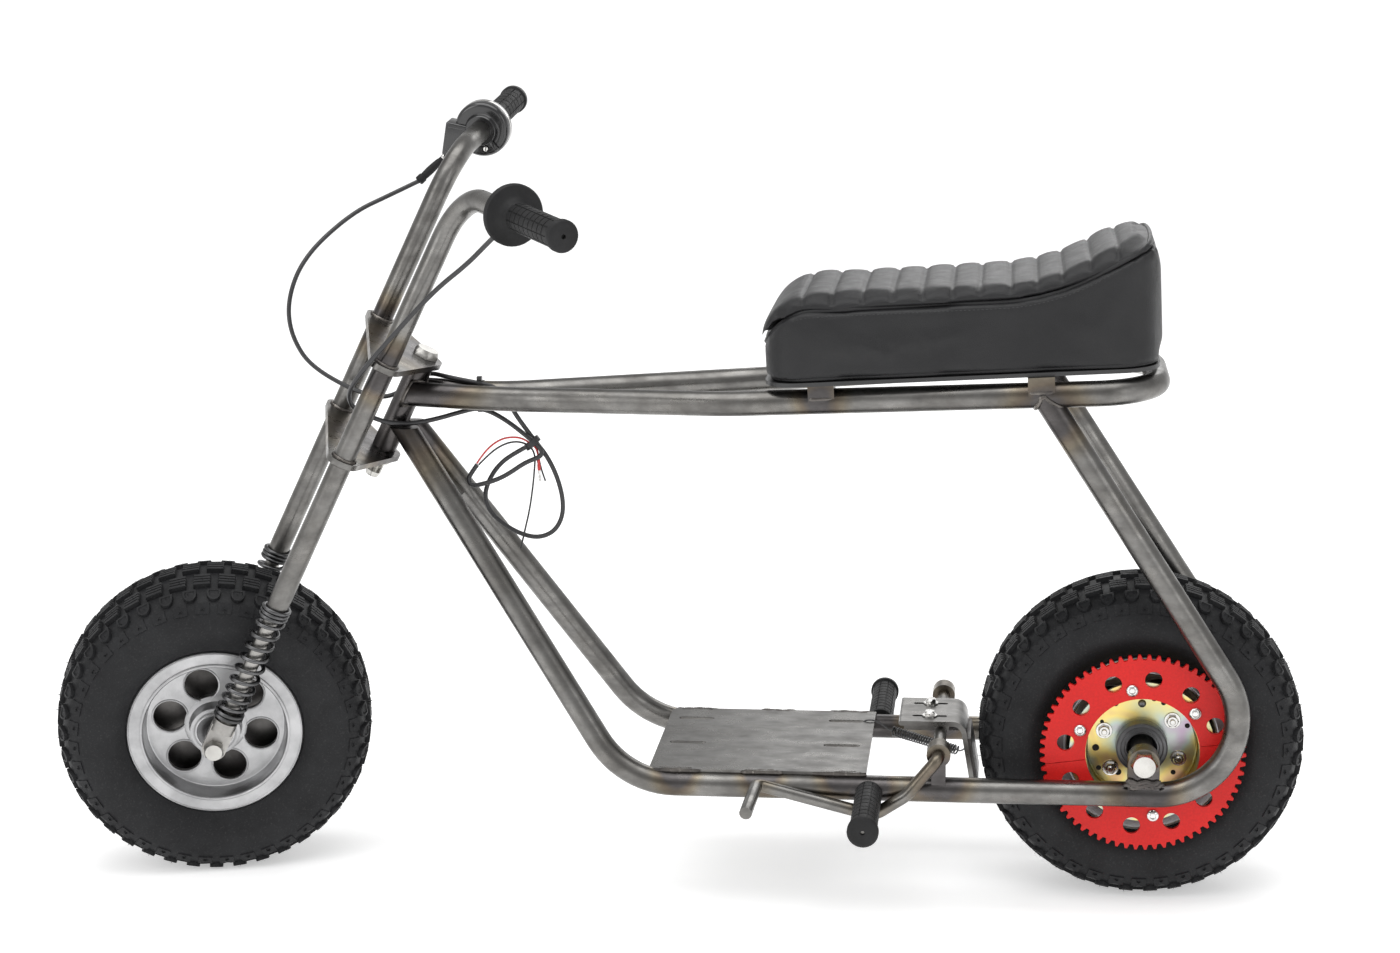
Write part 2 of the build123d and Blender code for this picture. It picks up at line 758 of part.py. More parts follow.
head_low = head_rise - fork_plate_gap - fork_plate_thickness
head_high = head_rise + head_length + fork_plate_gap
for name, low in (("lower", head_low), ("upper", head_high)):
    with BuildPart() as fork_plate:
        with BuildSketch(fork_section(low)):
            with BuildSketch(Plane.XY, mode=Mode.PRIVATE) as ends:
                with Locations((-fork_offset, -fork_half_width), (-fork_offset, fork_half_width)):
                    Circle(fork_plate_end_radius)
                Circle(fork_plate_ear_radius)
            make_hull(ends.edges())
            with Locations((-fork_offset, -fork_half_width), (-fork_offset, fork_half_width)):
                Circle(bar_radius, mode=Mode.SUBTRACT)
            Circle(stem_diameter / 2 + 0.1, mode=Mode.SUBTRACT)
        extrude(amount=fork_plate_thickness)
    pieces[f"{name}_fork_plate"] = fork_plate

stem_low = head_low - stem_tail
stem_high = head_high + fork_plate_thickness
with BuildPart() as stem_bolt:
    with BuildSketch(fork_section(stem_low)):
        Circle(stem_diameter / 2)
    extrude(amount=stem_high - stem_low)
    with BuildSketch(fork_section(stem_high)):
        RegularPolygon(stem_head_across / 2, 6, major_radius=False)
    extrude(amount=stem_head_height)
pieces["stem_bolt"] = stem_bolt

with BuildPart() as stem_nut:
    with BuildSketch(fork_section(head_low)):
        RegularPolygon(stem_head_across / 2, 6, major_radius=False)
        Circle(stem_diameter / 2, mode=Mode.SUBTRACT)
    extrude(amount=-stem_head_height)
pieces["stem_nut"] = stem_nut

# Sliders: a rod in each fork tube, with a collar under the spring and a lug for the axle.
for side, name in ((-1, "left"), (1, "right")):
    foot = on_fork(-fork_offset, side * fork_half_width, 0)
    foot_up = Plane(foot, x_dir=turned_back, z_dir=axis_up)
    lug_plane = facing(front_wheel, side, fork_half_width - lug_thickness / 2)
    with BuildPart() as slider:
        with BuildSketch(lug_plane):
            Circle(lug_radius)
            with Locations((0, collar_rise / 2)):
                Rectangle(2 * lug_radius, collar_rise)
            Circle(front_axle_diameter / 2 + 0.1, mode=Mode.SUBTRACT)
        extrude(amount=lug_thickness)
        with BuildSketch(foot_up.offset(collar_rise - collar_height / 2)):
            Circle(collar_diameter / 2)
        extrude(amount=collar_height)
        with BuildSketch(foot_up.offset(collar_rise)):
            Circle(slider_diameter / 2)
        extrude(amount=fork_end_rise + slider_overlap - collar_rise)
    pieces[f"{name}_slider"] = slider
    spring_low = collar_rise + collar_height / 2
    with BuildPart() as spring:
        with BuildSketch(foot_up.offset(spring_low)):
            Circle(spring_diameter / 2)
            Circle(spring_diameter / 2 - spring_wire, mode=Mode.SUBTRACT)
        extrude(amount=fork_end_rise + spring_lap - spring_low)
    pieces[f"{name}_fork_spring"] = spring

lug_out = fork_half_width + lug_thickness / 2
with BuildPart() as front_axle:
    with BuildSketch(facing(front_wheel, -1, lug_out)):
        Circle(front_axle_diameter / 2)
    extrude(amount=-2 * lug_out)
    for side in (-1, 1):
        with BuildSketch(facing(front_wheel, side, lug_out)):
            RegularPolygon(axle_nut_across / 2, 6, major_radius=False)
        extrude(amount=axle_nut_height)
pieces["front_axle"] = front_axle

with BuildPart() as front_spacers:
    for side in (-1, 1):
        with BuildSketch(facing(front_wheel, side, hub_half_width + running_gap)):
            Circle(axle_spacer_diameter / 2)
            Circle(front_axle_diameter / 2 + 0.1, mode=Mode.SUBTRACT)
        extrude(amount=fork_half_width - lug_thickness / 2 - hub_half_width - running_gap)
pieces["front_spacers"] = front_spacers

# Grips: a flanged rubber grip on the left, and a twist throttle with its housing on the right.
for side, name in ((-1, "left"), (1, "right")):
    corner, bar_end = bar_lines[name][1:]
    outward = (bar_end - corner).normalized()
    grip_start = bar_end - outward * (grip_length - 4)
    grip_plane = Plane(grip_start, x_dir=axis_up.cross(outward), z_dir=outward)
    with BuildPart() as grip:
        with BuildSketch(grip_plane):
            Circle(grip_diameter / 2)
        extrude(amount=grip_length)
        with BuildSketch(grip_plane.offset(grip_length - grip_cap_length)):
            Circle(grip_cap_diameter / 2)
        extrude(amount=grip_cap_length)
        if side < 0:
            with BuildSketch(grip_plane):
                Circle(grip_flange_diameter / 2)
            extrude(amount=grip_flange_thickness)
        with BuildSketch(grip_plane):
            Circle(bar_radius)
        extrude(amount=grip_length - 4, mode=Mode.SUBTRACT)
    pieces[f"{name}_grip"] = grip

with BuildPart() as throttle_housing:
    with BuildSketch(grip_plane):
        Circle(throttle_diameter / 2)
        with Locations(Rotation(0, 0, throttle_block_tilt)):
            with Locations((throttle_block_reach, throttle_block_lift)):
                Rectangle(
                    throttle_block_depth, throttle_block_lift + throttle_block_drop, align=(Align.MAX, Align.MAX)
                )
        Circle(bar_radius, mode=Mode.SUBTRACT)
    extrude(amount=-throttle_thickness)
pieces["throttle_housing"] = throttle_housing

# Scrub brake: a rod across the frame in two bushings, bent into the pedal lever on the left.
for side, name in ((-1, "left"), (1, "right")):
    bushing_plane = Plane(
        from_axle(-brake_lead, side * (lower_half_width - bushing_length / 2), brake_rise),
        x_dir=(-side, 0, 0),
        z_dir=(0, side, 0),
    )
    with BuildPart() as bushing:
        with BuildSketch(bushing_plane):
            Circle(bushing_diameter / 2)
            with Locations((0, -(brake_rise + lower_drop) / 2)):
                Rectangle(bushing_web, brake_rise + lower_drop)
            Circle(brake_rod_diameter / 2 + 0.1, mode=Mode.SUBTRACT)
        extrude(amount=bushing_length)
        add(pieces[f"{name}_loop"].part, mode=Mode.SUBTRACT)
    pieces[f"{name}_brake_bushing"] = bushing

lever_points = [
    from_axle(-brake_lead, lower_half_width + brake_rod_diameter, brake_rise),
    from_axle(-brake_lead, -lever_offset, brake_rise),
]
lever_points += [from_axle(-lead, -lever_offset, up) for lead, up in (lever_knee, lever_heel, lever_toe)]
lever_points.append(from_axle(-pedal_pin_tip[0], -lever_offset - pedal_pin_length, pedal_pin_tip[1]))
with BuildPart() as brake_lever:
    add(bent_tube(lever_points, list(lever_bends), brake_rod_diameter))
pieces["brake_lever"] = brake_lever

shoe_middle = shoe_height - shoe_thickness / 2
shoe_side = Plane(from_axle(0, 0, 0), x_dir=(1, 0, 0), z_dir=(0, -1, 0))
leg_top = Vector(-shoe_back_lead, shoe_middle)
leg_foot = Vector(-shoe_leg_foot_lead, -shoe_leg_foot_drop)
with BuildPart() as brake_shoe:
    with BuildSketch(shoe_side):
        with BuildLine():
            FilletPolyline((-shoe_front_lead, shoe_middle), leg_top, leg_foot, radius=shoe_bend)
            offset(amount=shoe_thickness / 2, side=Side.BOTH)
        make_face()
    extrude(amount=shoe_width / 2, both=True)
    with BuildSketch(Plane(from_axle(-shoe_slot_lead, 0, shoe_height))):
        with GridLocations(1, shoe_slot_spacing, 1, 2):
            SlotOverall(shoe_slot_length, shoe_slot_width)
    extrude(amount=-shoe_thickness, mode=Mode.SUBTRACT)
pieces["brake_shoe"] = brake_shoe

leg_length = (leg_foot - leg_top).length
with BuildPart() as brake_pad:
    with BuildSketch(
        Plane(
            from_axle(leg_foot.X, 0, leg_foot.Y),
            x_dir=(0, 1, 0),
            z_dir=Vector((leg_top - leg_foot).Y, 0, (leg_foot - leg_top).X).normalized(),
        ).offset(shoe_thickness / 2)
    ):
        with Locations((0, (leg_length - shoe_bend) / 2)):
            Rectangle(shoe_width - 2 * shoe_pad_margin, leg_length - shoe_bend - 2 * shoe_pad_margin)
    extrude(amount=shoe_pad_thickness)
pieces["brake_pad"] = brake_pad

arm_top = shoe_height - shoe_thickness
with BuildPart() as brake_arm:
    with BuildSketch(Plane(from_axle(-arm_lead, 0, arm_top))):
        Rectangle(arm_length, shoe_width - 2 * arm_margin)
    extrude(amount=-arm_thickness)
    with BuildSketch(Plane(from_axle(-brake_lead, 0, brake_rise), x_dir=(1, 0, 0), z_dir=(0, 1, 0))):
        Circle(brake_rod_diameter / 2)
    extrude(amount=lower_half_width, both=True, mode=Mode.SUBTRACT)
pieces["brake_arm"] = brake_arm

# Return spring of the brake, hooked through a slot of the engine plate and against the shoe's leg.
plate_top = plate_z + plate_thickness
slot_end = -plate_front_lead + (plate_length + slot_spacing_x + slot_length) / 2
slot_side = slot_side_offset + slot_spacing_y / 2
hook_x = slot_end - brake_hook_wire / 2 - 0.2
plate_back = -plate_front_lead + plate_length
coil_start = (plate_back + 20, slot_side - 3, plate_top - 9)
coil_end = (-shoe_back_lead - 7, shoe_width / 2 - 6, -38)
with BuildPart() as brake_spring:
    add(round_bar(from_axle(*coil_start), from_axle(*coil_end), brake_spring_diameter))
    front_hook = [
        from_axle(hook_x, slot_side, plate_z - 5),
        from_axle(hook_x, slot_side, plate_top + 2.5),
        from_axle(plate_back + 2, slot_side, plate_top + 2),
        from_axle(*coil_start),
    ]
    add(bent_tube(front_hook, [2, 3], brake_hook_wire))
    add(round_bar(from_axle(*coil_end), from_axle(-shoe_back_lead + 7, shoe_width / 2 - 8, -31), brake_hook_wire))
    add(brake_shoe.part, mode=Mode.SUBTRACT)
pieces["brake_spring"] = brake_spring

# Cords. Each route is a table of points from the rear axle: behind it, to its right, above it.
cable_route = (
    (-773.5, 165.5, 549.4), (-804.9, 150.9, 535.0), (-835.4, 129.1, 521.6), (-867.2, 98.4, 494.5),
    (-884.2, 76.2, 470.9), (-892.4, 61.6, 446.4), (-894.8, 53.8, 420.9), (-888.2, 48.4, 395.1),
    (-870.6, 42.6, 369.5), (-829.6, 38.5, 345.9), (-786.0, 26.0, 335.5), (-756.5, 29.4, 354.8),
    (-740.0, 22.0, 367.0), (-712.0, 8.0, 363.5), (-683.0, 3.3, 359.2), (-664.0, 0.0, 355.9),
    (-652.0, 0.0, 343.0), (-643.5, 1.4, 325.5), (-625.2, 3.2, 299.1), (-611.8, 3.5, 281.4),
    (-602.0, 4.0, 259.0), (-596.9, 4.5, 235.5), (-598.5, 5.0, 216.0), (-608.5, 5.3, 200.2),
    (-626.2, 5.6, 194.0), (-645.3, 6.0, 199.0), (-662.0, 6.0, 209.0), (-675.4, 6.0, 221.8),
    (-680.6, 6.0, 238.4), (-675.3, 6.0, 255.6), (-665.2, 5.5, 270.8), (-650.9, 4.5, 282.9),
    (-629.1, 3.2, 294.6),
)
lead_route = (
    (-615.8, -183.2, 549.4), (-624.5, -172.5, 536.5), (-637.3, -158.4, 525.0), (-658.6, -148.2, 504.7),
    (-694.8, -131.0, 477.0), (-736.6, -117.0, 434.9), (-763.4, -111.0, 406.6), (-785.2, -101.0, 382.3),
    (-797.4, -86.0, 365.1), (-799.9, -70.0, 350.6), (-795.7, -55.0, 340.4), (-786.2, -40.0, 331.1),
    (-773.5, -26.5, 322.7), (-755.6, -18.0, 319.5),
    (-738.9, -17.0, 321.6), (-720.7, -13.0, 325.1), (-703.1, -4.0, 329.1), (-681.0, 3.3, 333.8),
    (-655.0, 0.5, 322.0), (-625.2, -3.2, 299.1), (-616.8, -3.4, 291.2), (-616.9, -4.2, 283.5),
    (-633.5, -5.5, 277.8), (-651.0, -7.0, 265.8), (-664.7, -7.5, 258.8), (-681.2, -7.5, 253.9),
    (-690.5, -7.0, 252.0), (-694.9, -6.5, 258.2), (-691.6, -6.0, 265.1), (-684.6, -6.0, 274.6),
)
red_route = (
    (-684.9, -6.0, 276.0), (-677.5, -5.5, 286.8), (-667.9, -5.0, 296.2), (-657.1, -4.5, 302.4),
    (-646.5, -3.5, 303.8), (-637.5, -2.0, 302.4), (-627.8, -0.4, 296.1), (-621.4, -0.4, 289.5),
    (-621.0, -0.4, 280.0),
)
black_route = (
    (-682.9, -6.0, 274.6), (-672.2, -5.5, 285.5), (-661.3, -5.0, 293.6), (-650.7, -3.5, 298.1),
    (-640.2, -2.0, 298.7), (-629.4, -0.6, 294.3), (-624.1, -0.5, 284.3), (-625.5, -0.8, 268.4),
    (-627.7, -1.0, 249.6), (-631.8, -1.5, 225.2), (-637.8, -2.0, 202.0), (-642.0, -2.5, 185.0),
)
arc_share = 0.45
for name, route, diameter in (
    ("throttle_cable", cable_route, cord_diameter),
    ("switch_lead", lead_route, cord_diameter),
    ("red_wire", red_route, wire_diameter),
    ("black_wire", black_route, wire_diameter),
):
    points = [from_axle(*p) for p in route]
    runs = [b - a for a, b in zip(points, points[1:])]
    radii = [
        arc_share * min(first.length, second.length) / tan(radians(first.get_angle(second) / 2))
        for first, second in zip(runs, runs[1:])
    ]
    with BuildPart() as cord:
        add(bent_tube(points, radii, diameter))
        if name == "switch_lead":
            add(pieces["left_fork_tube"].part, mode=Mode.SUBTRACT)
    print(name, "radii", [round(r, 1) for r in radii])
    pieces[name] = cord

# Adjuster and rubber boot, from the underside of the throttle's block to the cable.
block_turn = radians(throttle_block_tilt)
adjuster_across = throttle_block_reach - adjuster_inset
adjuster_start = grip_plane.from_local_coords(
    Vector(
        adjuster_across * cos(block_turn) + throttle_block_drop * sin(block_turn),
        adjuster_across * sin(block_turn) - throttle_block_drop * cos(block_turn),
        -throttle_thickness / 2,
    )
)
boot_line = from_axle(*cable_route[0]) - adjuster_start
boot_length = boot_line.length
with BuildPart() as cable_boot:
    with BuildSketch(Plane(origin=adjuster_start, x_dir=boot_line.normalized(), z_dir=boot_line.cross(Vector(0, 0, 1)))):
        with BuildLine():
            Polyline(
                (-1.5 * adjuster_diameter, 0), (-1.5 * adjuster_diameter, adjuster_diameter / 2),
                (adjuster_length, adjuster_diameter / 2), (adjuster_length, boot_neck / 2),
                (boot_length * 0.6, boot_diameter / 2), (boot_length - boot_collar_length, boot_diameter / 2 - 0.6),
                (boot_length - boot_collar_length, boot_collar_diameter / 2), (boot_length, boot_collar_diameter / 2),
                (boot_length, 0), close=True,
            )
        make_face()
    revolve(axis=Axis(adjuster_start, boot_line))
    add(throttle_housing.part, mode=Mode.SUBTRACT)
    add(pieces["throttle_cable"].part, mode=Mode.SUBTRACT)
pieces["cable_boot"] = cable_boot

# Tie at the knot: a block of wound tie round the cords, cut away where they pass.
tie_centre = from_axle(-627, 0, 297)
tie_along = (from_axle(*cable_route[18]) - from_axle(*cable_route[17])).normalized()
tie_plane = Plane(origin=tie_centre, x_dir=(0, 1, 0), z_dir=tie_along).offset(-cord_tie_length / 2)
with BuildPart() as cord_tie:
    with BuildSketch(tie_plane):
        with BuildSketch(Plane.XY, mode=Mode.PRIVATE) as held:
            for across, up, diameter in (
                (3.2, 2.8, cord_diameter), (-3.2, 2.8, cord_diameter), (3.2, -3.2, cord_diameter), (-0.6, -3.6, wire_diameter),
            ):
                with Locations((across, -up if tie_plane.y_dir.Z < 0 else up)):
                    Circle(diameter / 2 + cord_tie_wall)
        make_hull(held.edges())
    extrude(amount=cord_tie_length)
    for name in ("throttle_cable", "switch_lead", "red_wire", "black_wire"):
        add(pieces[name].part, mode=Mode.SUBTRACT)
pieces["cord_tie"] = cord_tie

# Tie round the right rail and the two cords.
tie_x = -681.0
rail_height = rail_spread_height + (rail_start.Z - axle_z - rail_spread_height) * (-tie_x - rail_spread_lead) / (
    rear_x - rail_start.X - rail_spread_lead
)
with BuildPart() as rail_tie:
    for grow, mode in ((rail_tie_wall + cord_clearance, Mode.ADD), (cord_clearance, Mode.SUBTRACT)):
        with BuildSketch(Plane(from_axle(tie_x - rail_tie_width / 2, 0, 0), x_dir=(0, 1, 0), z_dir=(1, 0, 0))):
            with BuildSketch(Plane.XY, mode=Mode.PRIVATE) as held:
                for across, up, diameter in (
                    (half_pitch + cord_clearance, rail_height, tube_diameter), (3.3, 359.1, cord_diameter),
                    (2.6, 331.9, cord_diameter),
                ):
                    with Locations((across, up)):
                        Circle(diameter / 2 + grow)
            make_hull(held.edges())
        extrude(amount=rail_tie_width, mode=mode)
    with BuildSketch(Plane(from_axle(tie_x, 3.3, 359.1 + cord_diameter / 2 + cord_clearance + rail_tie_wall / 2))):
        Rectangle(rail_tie_head_size, rail_tie_head_size + 1)
    extrude(amount=rail_tie_head_size - 1)
    for name in ("throttle_cable", "switch_lead", "top_rails"):
        add(pieces[name].part, mode=Mode.SUBTRACT)
pieces["rail_tie"] = rail_tie

# Terminal on the red wire: a sleeve and its crimp.
wire_end = from_axle(*red_route[-1])
wire_down = (wire_end - from_axle(*red_route[-2])).normalized()
with BuildPart() as red_terminal:
    add(round_bar(wire_end, wire_end + wire_down * terminal_length, terminal_diameter))
    add(
        round_bar(
            wire_end + wire_down * terminal_length,
            wire_end + wire_down * (terminal_length + crimp_length),
            crimp_diameter,
        )
    )
pieces["red_terminal"] = red_terminal

for label, piece in pieces.items():
    piece.part.label = label
    export_step(piece.part, f"parts/{label}.step")
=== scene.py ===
import json
import math
import random

import bmesh
import bpy
import numpy as np
from mathutils import Matrix, Vector
from mathutils.bvhtree import BVHTree


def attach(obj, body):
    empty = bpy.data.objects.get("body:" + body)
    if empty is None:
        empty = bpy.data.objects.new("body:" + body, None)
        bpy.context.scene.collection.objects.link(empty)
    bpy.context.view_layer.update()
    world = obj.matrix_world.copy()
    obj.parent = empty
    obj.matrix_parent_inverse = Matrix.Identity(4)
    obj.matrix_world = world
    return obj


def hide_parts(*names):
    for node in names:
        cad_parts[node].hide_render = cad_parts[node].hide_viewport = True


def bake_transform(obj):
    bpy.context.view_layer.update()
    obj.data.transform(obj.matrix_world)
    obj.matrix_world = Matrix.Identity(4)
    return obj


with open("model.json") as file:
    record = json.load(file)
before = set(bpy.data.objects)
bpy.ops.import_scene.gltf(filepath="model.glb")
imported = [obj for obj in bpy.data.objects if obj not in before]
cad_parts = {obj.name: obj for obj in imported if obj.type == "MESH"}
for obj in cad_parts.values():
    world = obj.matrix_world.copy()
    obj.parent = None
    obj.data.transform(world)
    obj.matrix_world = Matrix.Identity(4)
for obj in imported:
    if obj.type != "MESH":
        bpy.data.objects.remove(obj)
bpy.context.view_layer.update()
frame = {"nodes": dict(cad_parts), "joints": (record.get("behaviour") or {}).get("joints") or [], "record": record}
record = frame["record"]
joints = {j["name"]: j for j in frame["joints"]}
node_slots = {s["node"]: s["material_slot"] for s in record["subparts"]}
MM = 0.001

# Sizes in millimetres. Leads are measured forward from the rear axle and heights up from it.
wheel_radius = 165
tube_radius = 12.7
fork_half_width = 83
bar_corner_rise = 644
bar_end_place = (20, 305, 687.5)
grip_on_bar = 114
floor_half_width = 100
floor_height = -35
peg_lead = 273
brake_lead = 203.5
rail_bend_lead, rail_bend_across, rail_bend_height = 418, 63.3, 352.3
rail_end_back, rail_end_across, rail_end_height = 8, 96.4, 374.2
rail_run = rail_end_back + rail_bend_lead
seat_tab_leads = (322, 106)
head_half_pitch = 13

# Places taken from the joints: both axles, the steering axis and the turned frame of the fork.
rear_axle = Vector(joints["rear_wheel_spin"]["pos_m"])
front_axle = Vector(joints["front_wheel_spin"]["pos_m"])
fork_right = Vector(joints["front_wheel_spin"]["axis"]).normalized()
steer_up = Vector(joints["steering"]["axis"]).normalized()
steer_point = Vector(joints["steering"]["pos_m"])
fork_foot = steer_point + steer_up * (front_axle - steer_point).dot(steer_up)
fork_offset = (fork_foot - front_axle).length
fork_back = (fork_foot - front_axle).normalized()
ground_z = rear_axle.z - wheel_radius * MM


def axes(origin, x, y, z):
    """The matrix of a local frame with these axes."""
    return Matrix.Translation(origin) @ Matrix((x, y, z)).transposed().to_4x4()


rear_frame = axes(rear_axle, Vector((1, 0, 0)), Vector((0, 1, 0)), Vector((0, 0, 1)))
front_frame = axes(front_axle, fork_back, fork_right, steer_up)


def from_axle(back, right, up):
    """A point given in millimetres from the middle of the rear axle."""
    return rear_axle + Vector((back, right, up)) * MM


def on_fork(back, right, up):
    """A point given in millimetres in the turned frame of the fork."""
    return fork_foot + (fork_back * back + fork_right * right + steer_up * up) * MM


def facing(direction, x_hint=Vector((1, 0, 0))):
    """A rotation whose z axis points in a direction."""
    z = Vector(direction).normalized()
    x = (x_hint - z * x_hint.dot(z)).normalized()
    return x, z.cross(x), z


def new_object(name, data):
    """An object with this data, in the scene."""
    made = bpy.data.objects.new(name, data)
    bpy.context.scene.collection.objects.link(made)
    return made


# Camera: the photograph's place and lens, worked out from the wheels and the tubes.
camera_place = from_axle(-136.0, -2660.2, 873.3)
camera_turn = (math.radians(6.79), math.radians(-12.83), math.radians(0.89))
camera_lens = 68.55


def make_camera():
    yaw, pitch, roll = camera_turn
    turn = Matrix.Rotation(yaw, 4, "Z") @ Matrix.Rotation(pitch, 4, "X") @ Matrix.Rotation(roll, 4, "Y")
    data = bpy.data.cameras.new("camera")
    data.lens = camera_lens
    data.sensor_width = 36.0
    camera = new_object("camera", data)
    camera.matrix_world = Matrix.Translation(camera_place) @ turn @ Matrix.Rotation(math.radians(90), 4, "X")
    bpy.context.scene.camera = camera


# Shader helpers.
def material_tree(name):
    """A new material with a Principled shader, as (material, its node tree, shader)."""
    material = bpy.data.materials.new(name)
    material.use_nodes = True
    tree = material.node_tree
    tree.nodes.clear()
    output = tree.nodes.new("ShaderNodeOutputMaterial")
    shader = tree.nodes.new("ShaderNodeBsdfPrincipled")
    tree.links.new(shader.outputs["BSDF"], output.inputs["Surface"])
    return material, tree, shader


def set_inputs(node, **values):
    """Sets a node's inputs. A name's underscores stand for spaces."""
    for name, value in values.items():
        node.inputs[name.replace("_", " ")].default_value = value


def place_node(tree, stretch=(1, 1, 1), turn=(0, 0, 0)):
    """Object coordinates, stretched and turned."""
    where = tree.nodes.new("ShaderNodeTexCoord")
    mapping = tree.nodes.new("ShaderNodeMapping")
    set_inputs(mapping, Scale=stretch, Rotation=turn)
    tree.links.new(where.outputs["Object"], mapping.inputs["Vector"])
    return mapping.outputs["Vector"]


def noise_node(tree, vector, scale, detail=4.0, roughness=0.6):
    noise = tree.nodes.new("ShaderNodeTexNoise")
    set_inputs(noise, Scale=scale, Detail=detail, Roughness=roughness)
    tree.links.new(vector, noise.inputs["Vector"])
    return noise.outputs["Fac"]


def ramp_node(tree, factor, stops):
    """A colour ramp with (place, colour) stops."""
    ramp = tree.nodes.new("ShaderNodeValToRGB")
    while len(ramp.color_ramp.elements) < len(stops):
        ramp.color_ramp.elements.new(0.5)
    for element, (place, colour) in zip(ramp.color_ramp.elements, stops):
        element.position = place
        element.color = (*colour, 1.0) if len(colour) == 3 else colour
    tree.links.new(factor, ramp.inputs["Fac"])
    return ramp.outputs["Color"]


def grey(value):
    return (value, value, value)


def mix_node(tree, factor, low, high, blend="MIX"):
    """Mixes two colours, each a socket or a colour."""
    mix = tree.nodes.new("ShaderNodeMix")
    mix.data_type = "RGBA"
    mix.blend_type = blend
    if hasattr(factor, "links"):
        tree.links.new(factor, mix.inputs["Factor"])
    else:
        set_inputs(mix, Factor=factor)
    for socket, value in ((mix.inputs["A"], low), (mix.inputs["B"], high)):
        if hasattr(value, "links"):
            tree.links.new(value, socket)
        else:
            socket.default_value = (*value, 1.0)
    return mix.outputs["Result"]


def math_node(tree, operation, first, second=0.0, clamp=False):
    node = tree.nodes.new("ShaderNodeMath")
    node.operation = operation
    node.use_clamp = clamp
    for socket, value in zip(node.inputs, (first, second)):
        if hasattr(value, "links"):
            tree.links.new(value, socket)
        else:
            socket.default_value = value
    return node.outputs["Value"]


def bump_node(tree, shader, height, strength, distance=0.001):
    bump = tree.nodes.new("ShaderNodeBump")
    set_inputs(bump, Strength=strength, Distance=distance)
    tree.links.new(height, bump.inputs["Height"])
    tree.links.new(bump.outputs["Normal"], shader.inputs["Normal"])


def near_node(tree, places):
    """1 at any of the places, each (point, reach), and 0 beyond its reach."""
    where = tree.nodes.new("ShaderNodeTexCoord")
    total = None
    for point, reach in places:
        distance = tree.nodes.new("ShaderNodeVectorMath")
        distance.operation = "DISTANCE"
        distance.inputs[1].default_value = point
        tree.links.new(where.outputs["Object"], distance.inputs[0])
        share = tree.nodes.new("ShaderNodeMapRange")
        share.interpolation_type = "SMOOTHSTEP"
        set_inputs(share, From_Min=reach, From_Max=reach * 0.25)
        tree.links.new(distance.outputs["Value"], share.inputs["Value"])
        result = share.outputs["Result"]
        total = result if total is None else math_node(tree, "MAXIMUM", total, result)
    return total


def bare_steel(name, along=(1, 0, 0), shade=1.0, welds=()):
    """Bare mild steel: smoky scale drawn out along the tube, a fine grain and straw-brown heat marks."""
    material, tree, shader = material_tree(name)
    turn = Vector(along).to_track_quat("X", "Z").inverted().to_euler()
    streaks = noise_node(tree, place_node(tree, (1, 2.2, 2.2), turn), 26.0, 6.0, 0.62)
    blotches = noise_node(tree, place_node(tree), 22.0, 5.0, 0.65)
    fine = noise_node(tree, place_node(tree, (1, 2, 2), turn), 620.0, 3.0)
    tones = ((0.30, (0.155, 0.152, 0.149)), (0.5, (0.21, 0.207, 0.202)), (0.72, (0.275, 0.27, 0.262)))
    stops = [(place, tuple(value * shade for value in tone)) for place, tone in tones]
    base = ramp_node(tree, streaks, stops)
    patches = ramp_node(tree, blotches, [(0.35, (0.62, 0.60, 0.57)), (0.65, (1.0, 0.99, 0.97))])
    colour = mix_node(tree, 0.8, base, patches, "MULTIPLY")
    if welds:
        heat = near_node(tree, welds)
        uneven = math_node(tree, "MULTIPLY", heat, math_node(tree, "ADD", blotches, 0.45))
        marks = [(0.0, grey(1.0)), (0.35, (0.95, 0.84, 0.66)), (0.6, (0.66, 0.54, 0.42)), (0.85, (0.36, 0.34, 0.36))]
        colour = mix_node(tree, 0.85, colour, ramp_node(tree, uneven, marks), "MULTIPLY")
    tree.links.new(colour, shader.inputs["Base Color"])
    set_inputs(shader, Metallic=1.0)
    rough = ramp_node(tree, streaks, [(0.3, grey(0.40)), (0.7, grey(0.22))])
    tree.links.new(rough, shader.inputs["Roughness"])
    bump_node(tree, shader, fine, 0.10, 0.0003)
    return material


def cast_metal(name, light, dark, metallic, rough, grain_scale, bump):
    """A cast or plated metal with blotches and fine grain."""
    material, tree, shader = material_tree(name)
    blotches = noise_node(tree, place_node(tree), 30.0, 6.0)
    grain = noise_node(tree, place_node(tree), grain_scale, 3.0)
    tree.links.new(ramp_node(tree, blotches, [(0.3, dark), (0.65, light)]), shader.inputs["Base Color"])
    rough_low, rough_high = rough
    polish = ramp_node(tree, blotches, [(0.3, grey(rough_high)), (0.7, grey(rough_low))])
    tree.links.new(polish, shader.inputs["Roughness"])
    set_inputs(shader, Metallic=metallic)
    bump_node(tree, shader, grain, bump, 0.0005)
    return material


def gold_zinc(name):
    """Yellow passivated zinc, whose film shifts from straw through green to violet in patches."""
    material, tree, shader = material_tree(name)
    film = noise_node(tree, place_node(tree), 30.0, 2.0, 0.4)
    grain = noise_node(tree, place_node(tree), 900.0, 2.0)
    tints = [
        (0.30, (0.46, 0.36, 0.46)), (0.41, (0.48, 0.56, 0.50)), (0.49, (0.62, 0.60, 0.34)),
        (0.58, (0.80, 0.64, 0.22)), (0.70, (0.66, 0.42, 0.24)),
    ]
    tree.links.new(ramp_node(tree, film, tints), shader.inputs["Base Color"])
    set_inputs(shader, Metallic=1.0, Roughness=0.28)
    bump_node(tree, shader, grain, 0.08, 0.0003)
    return material


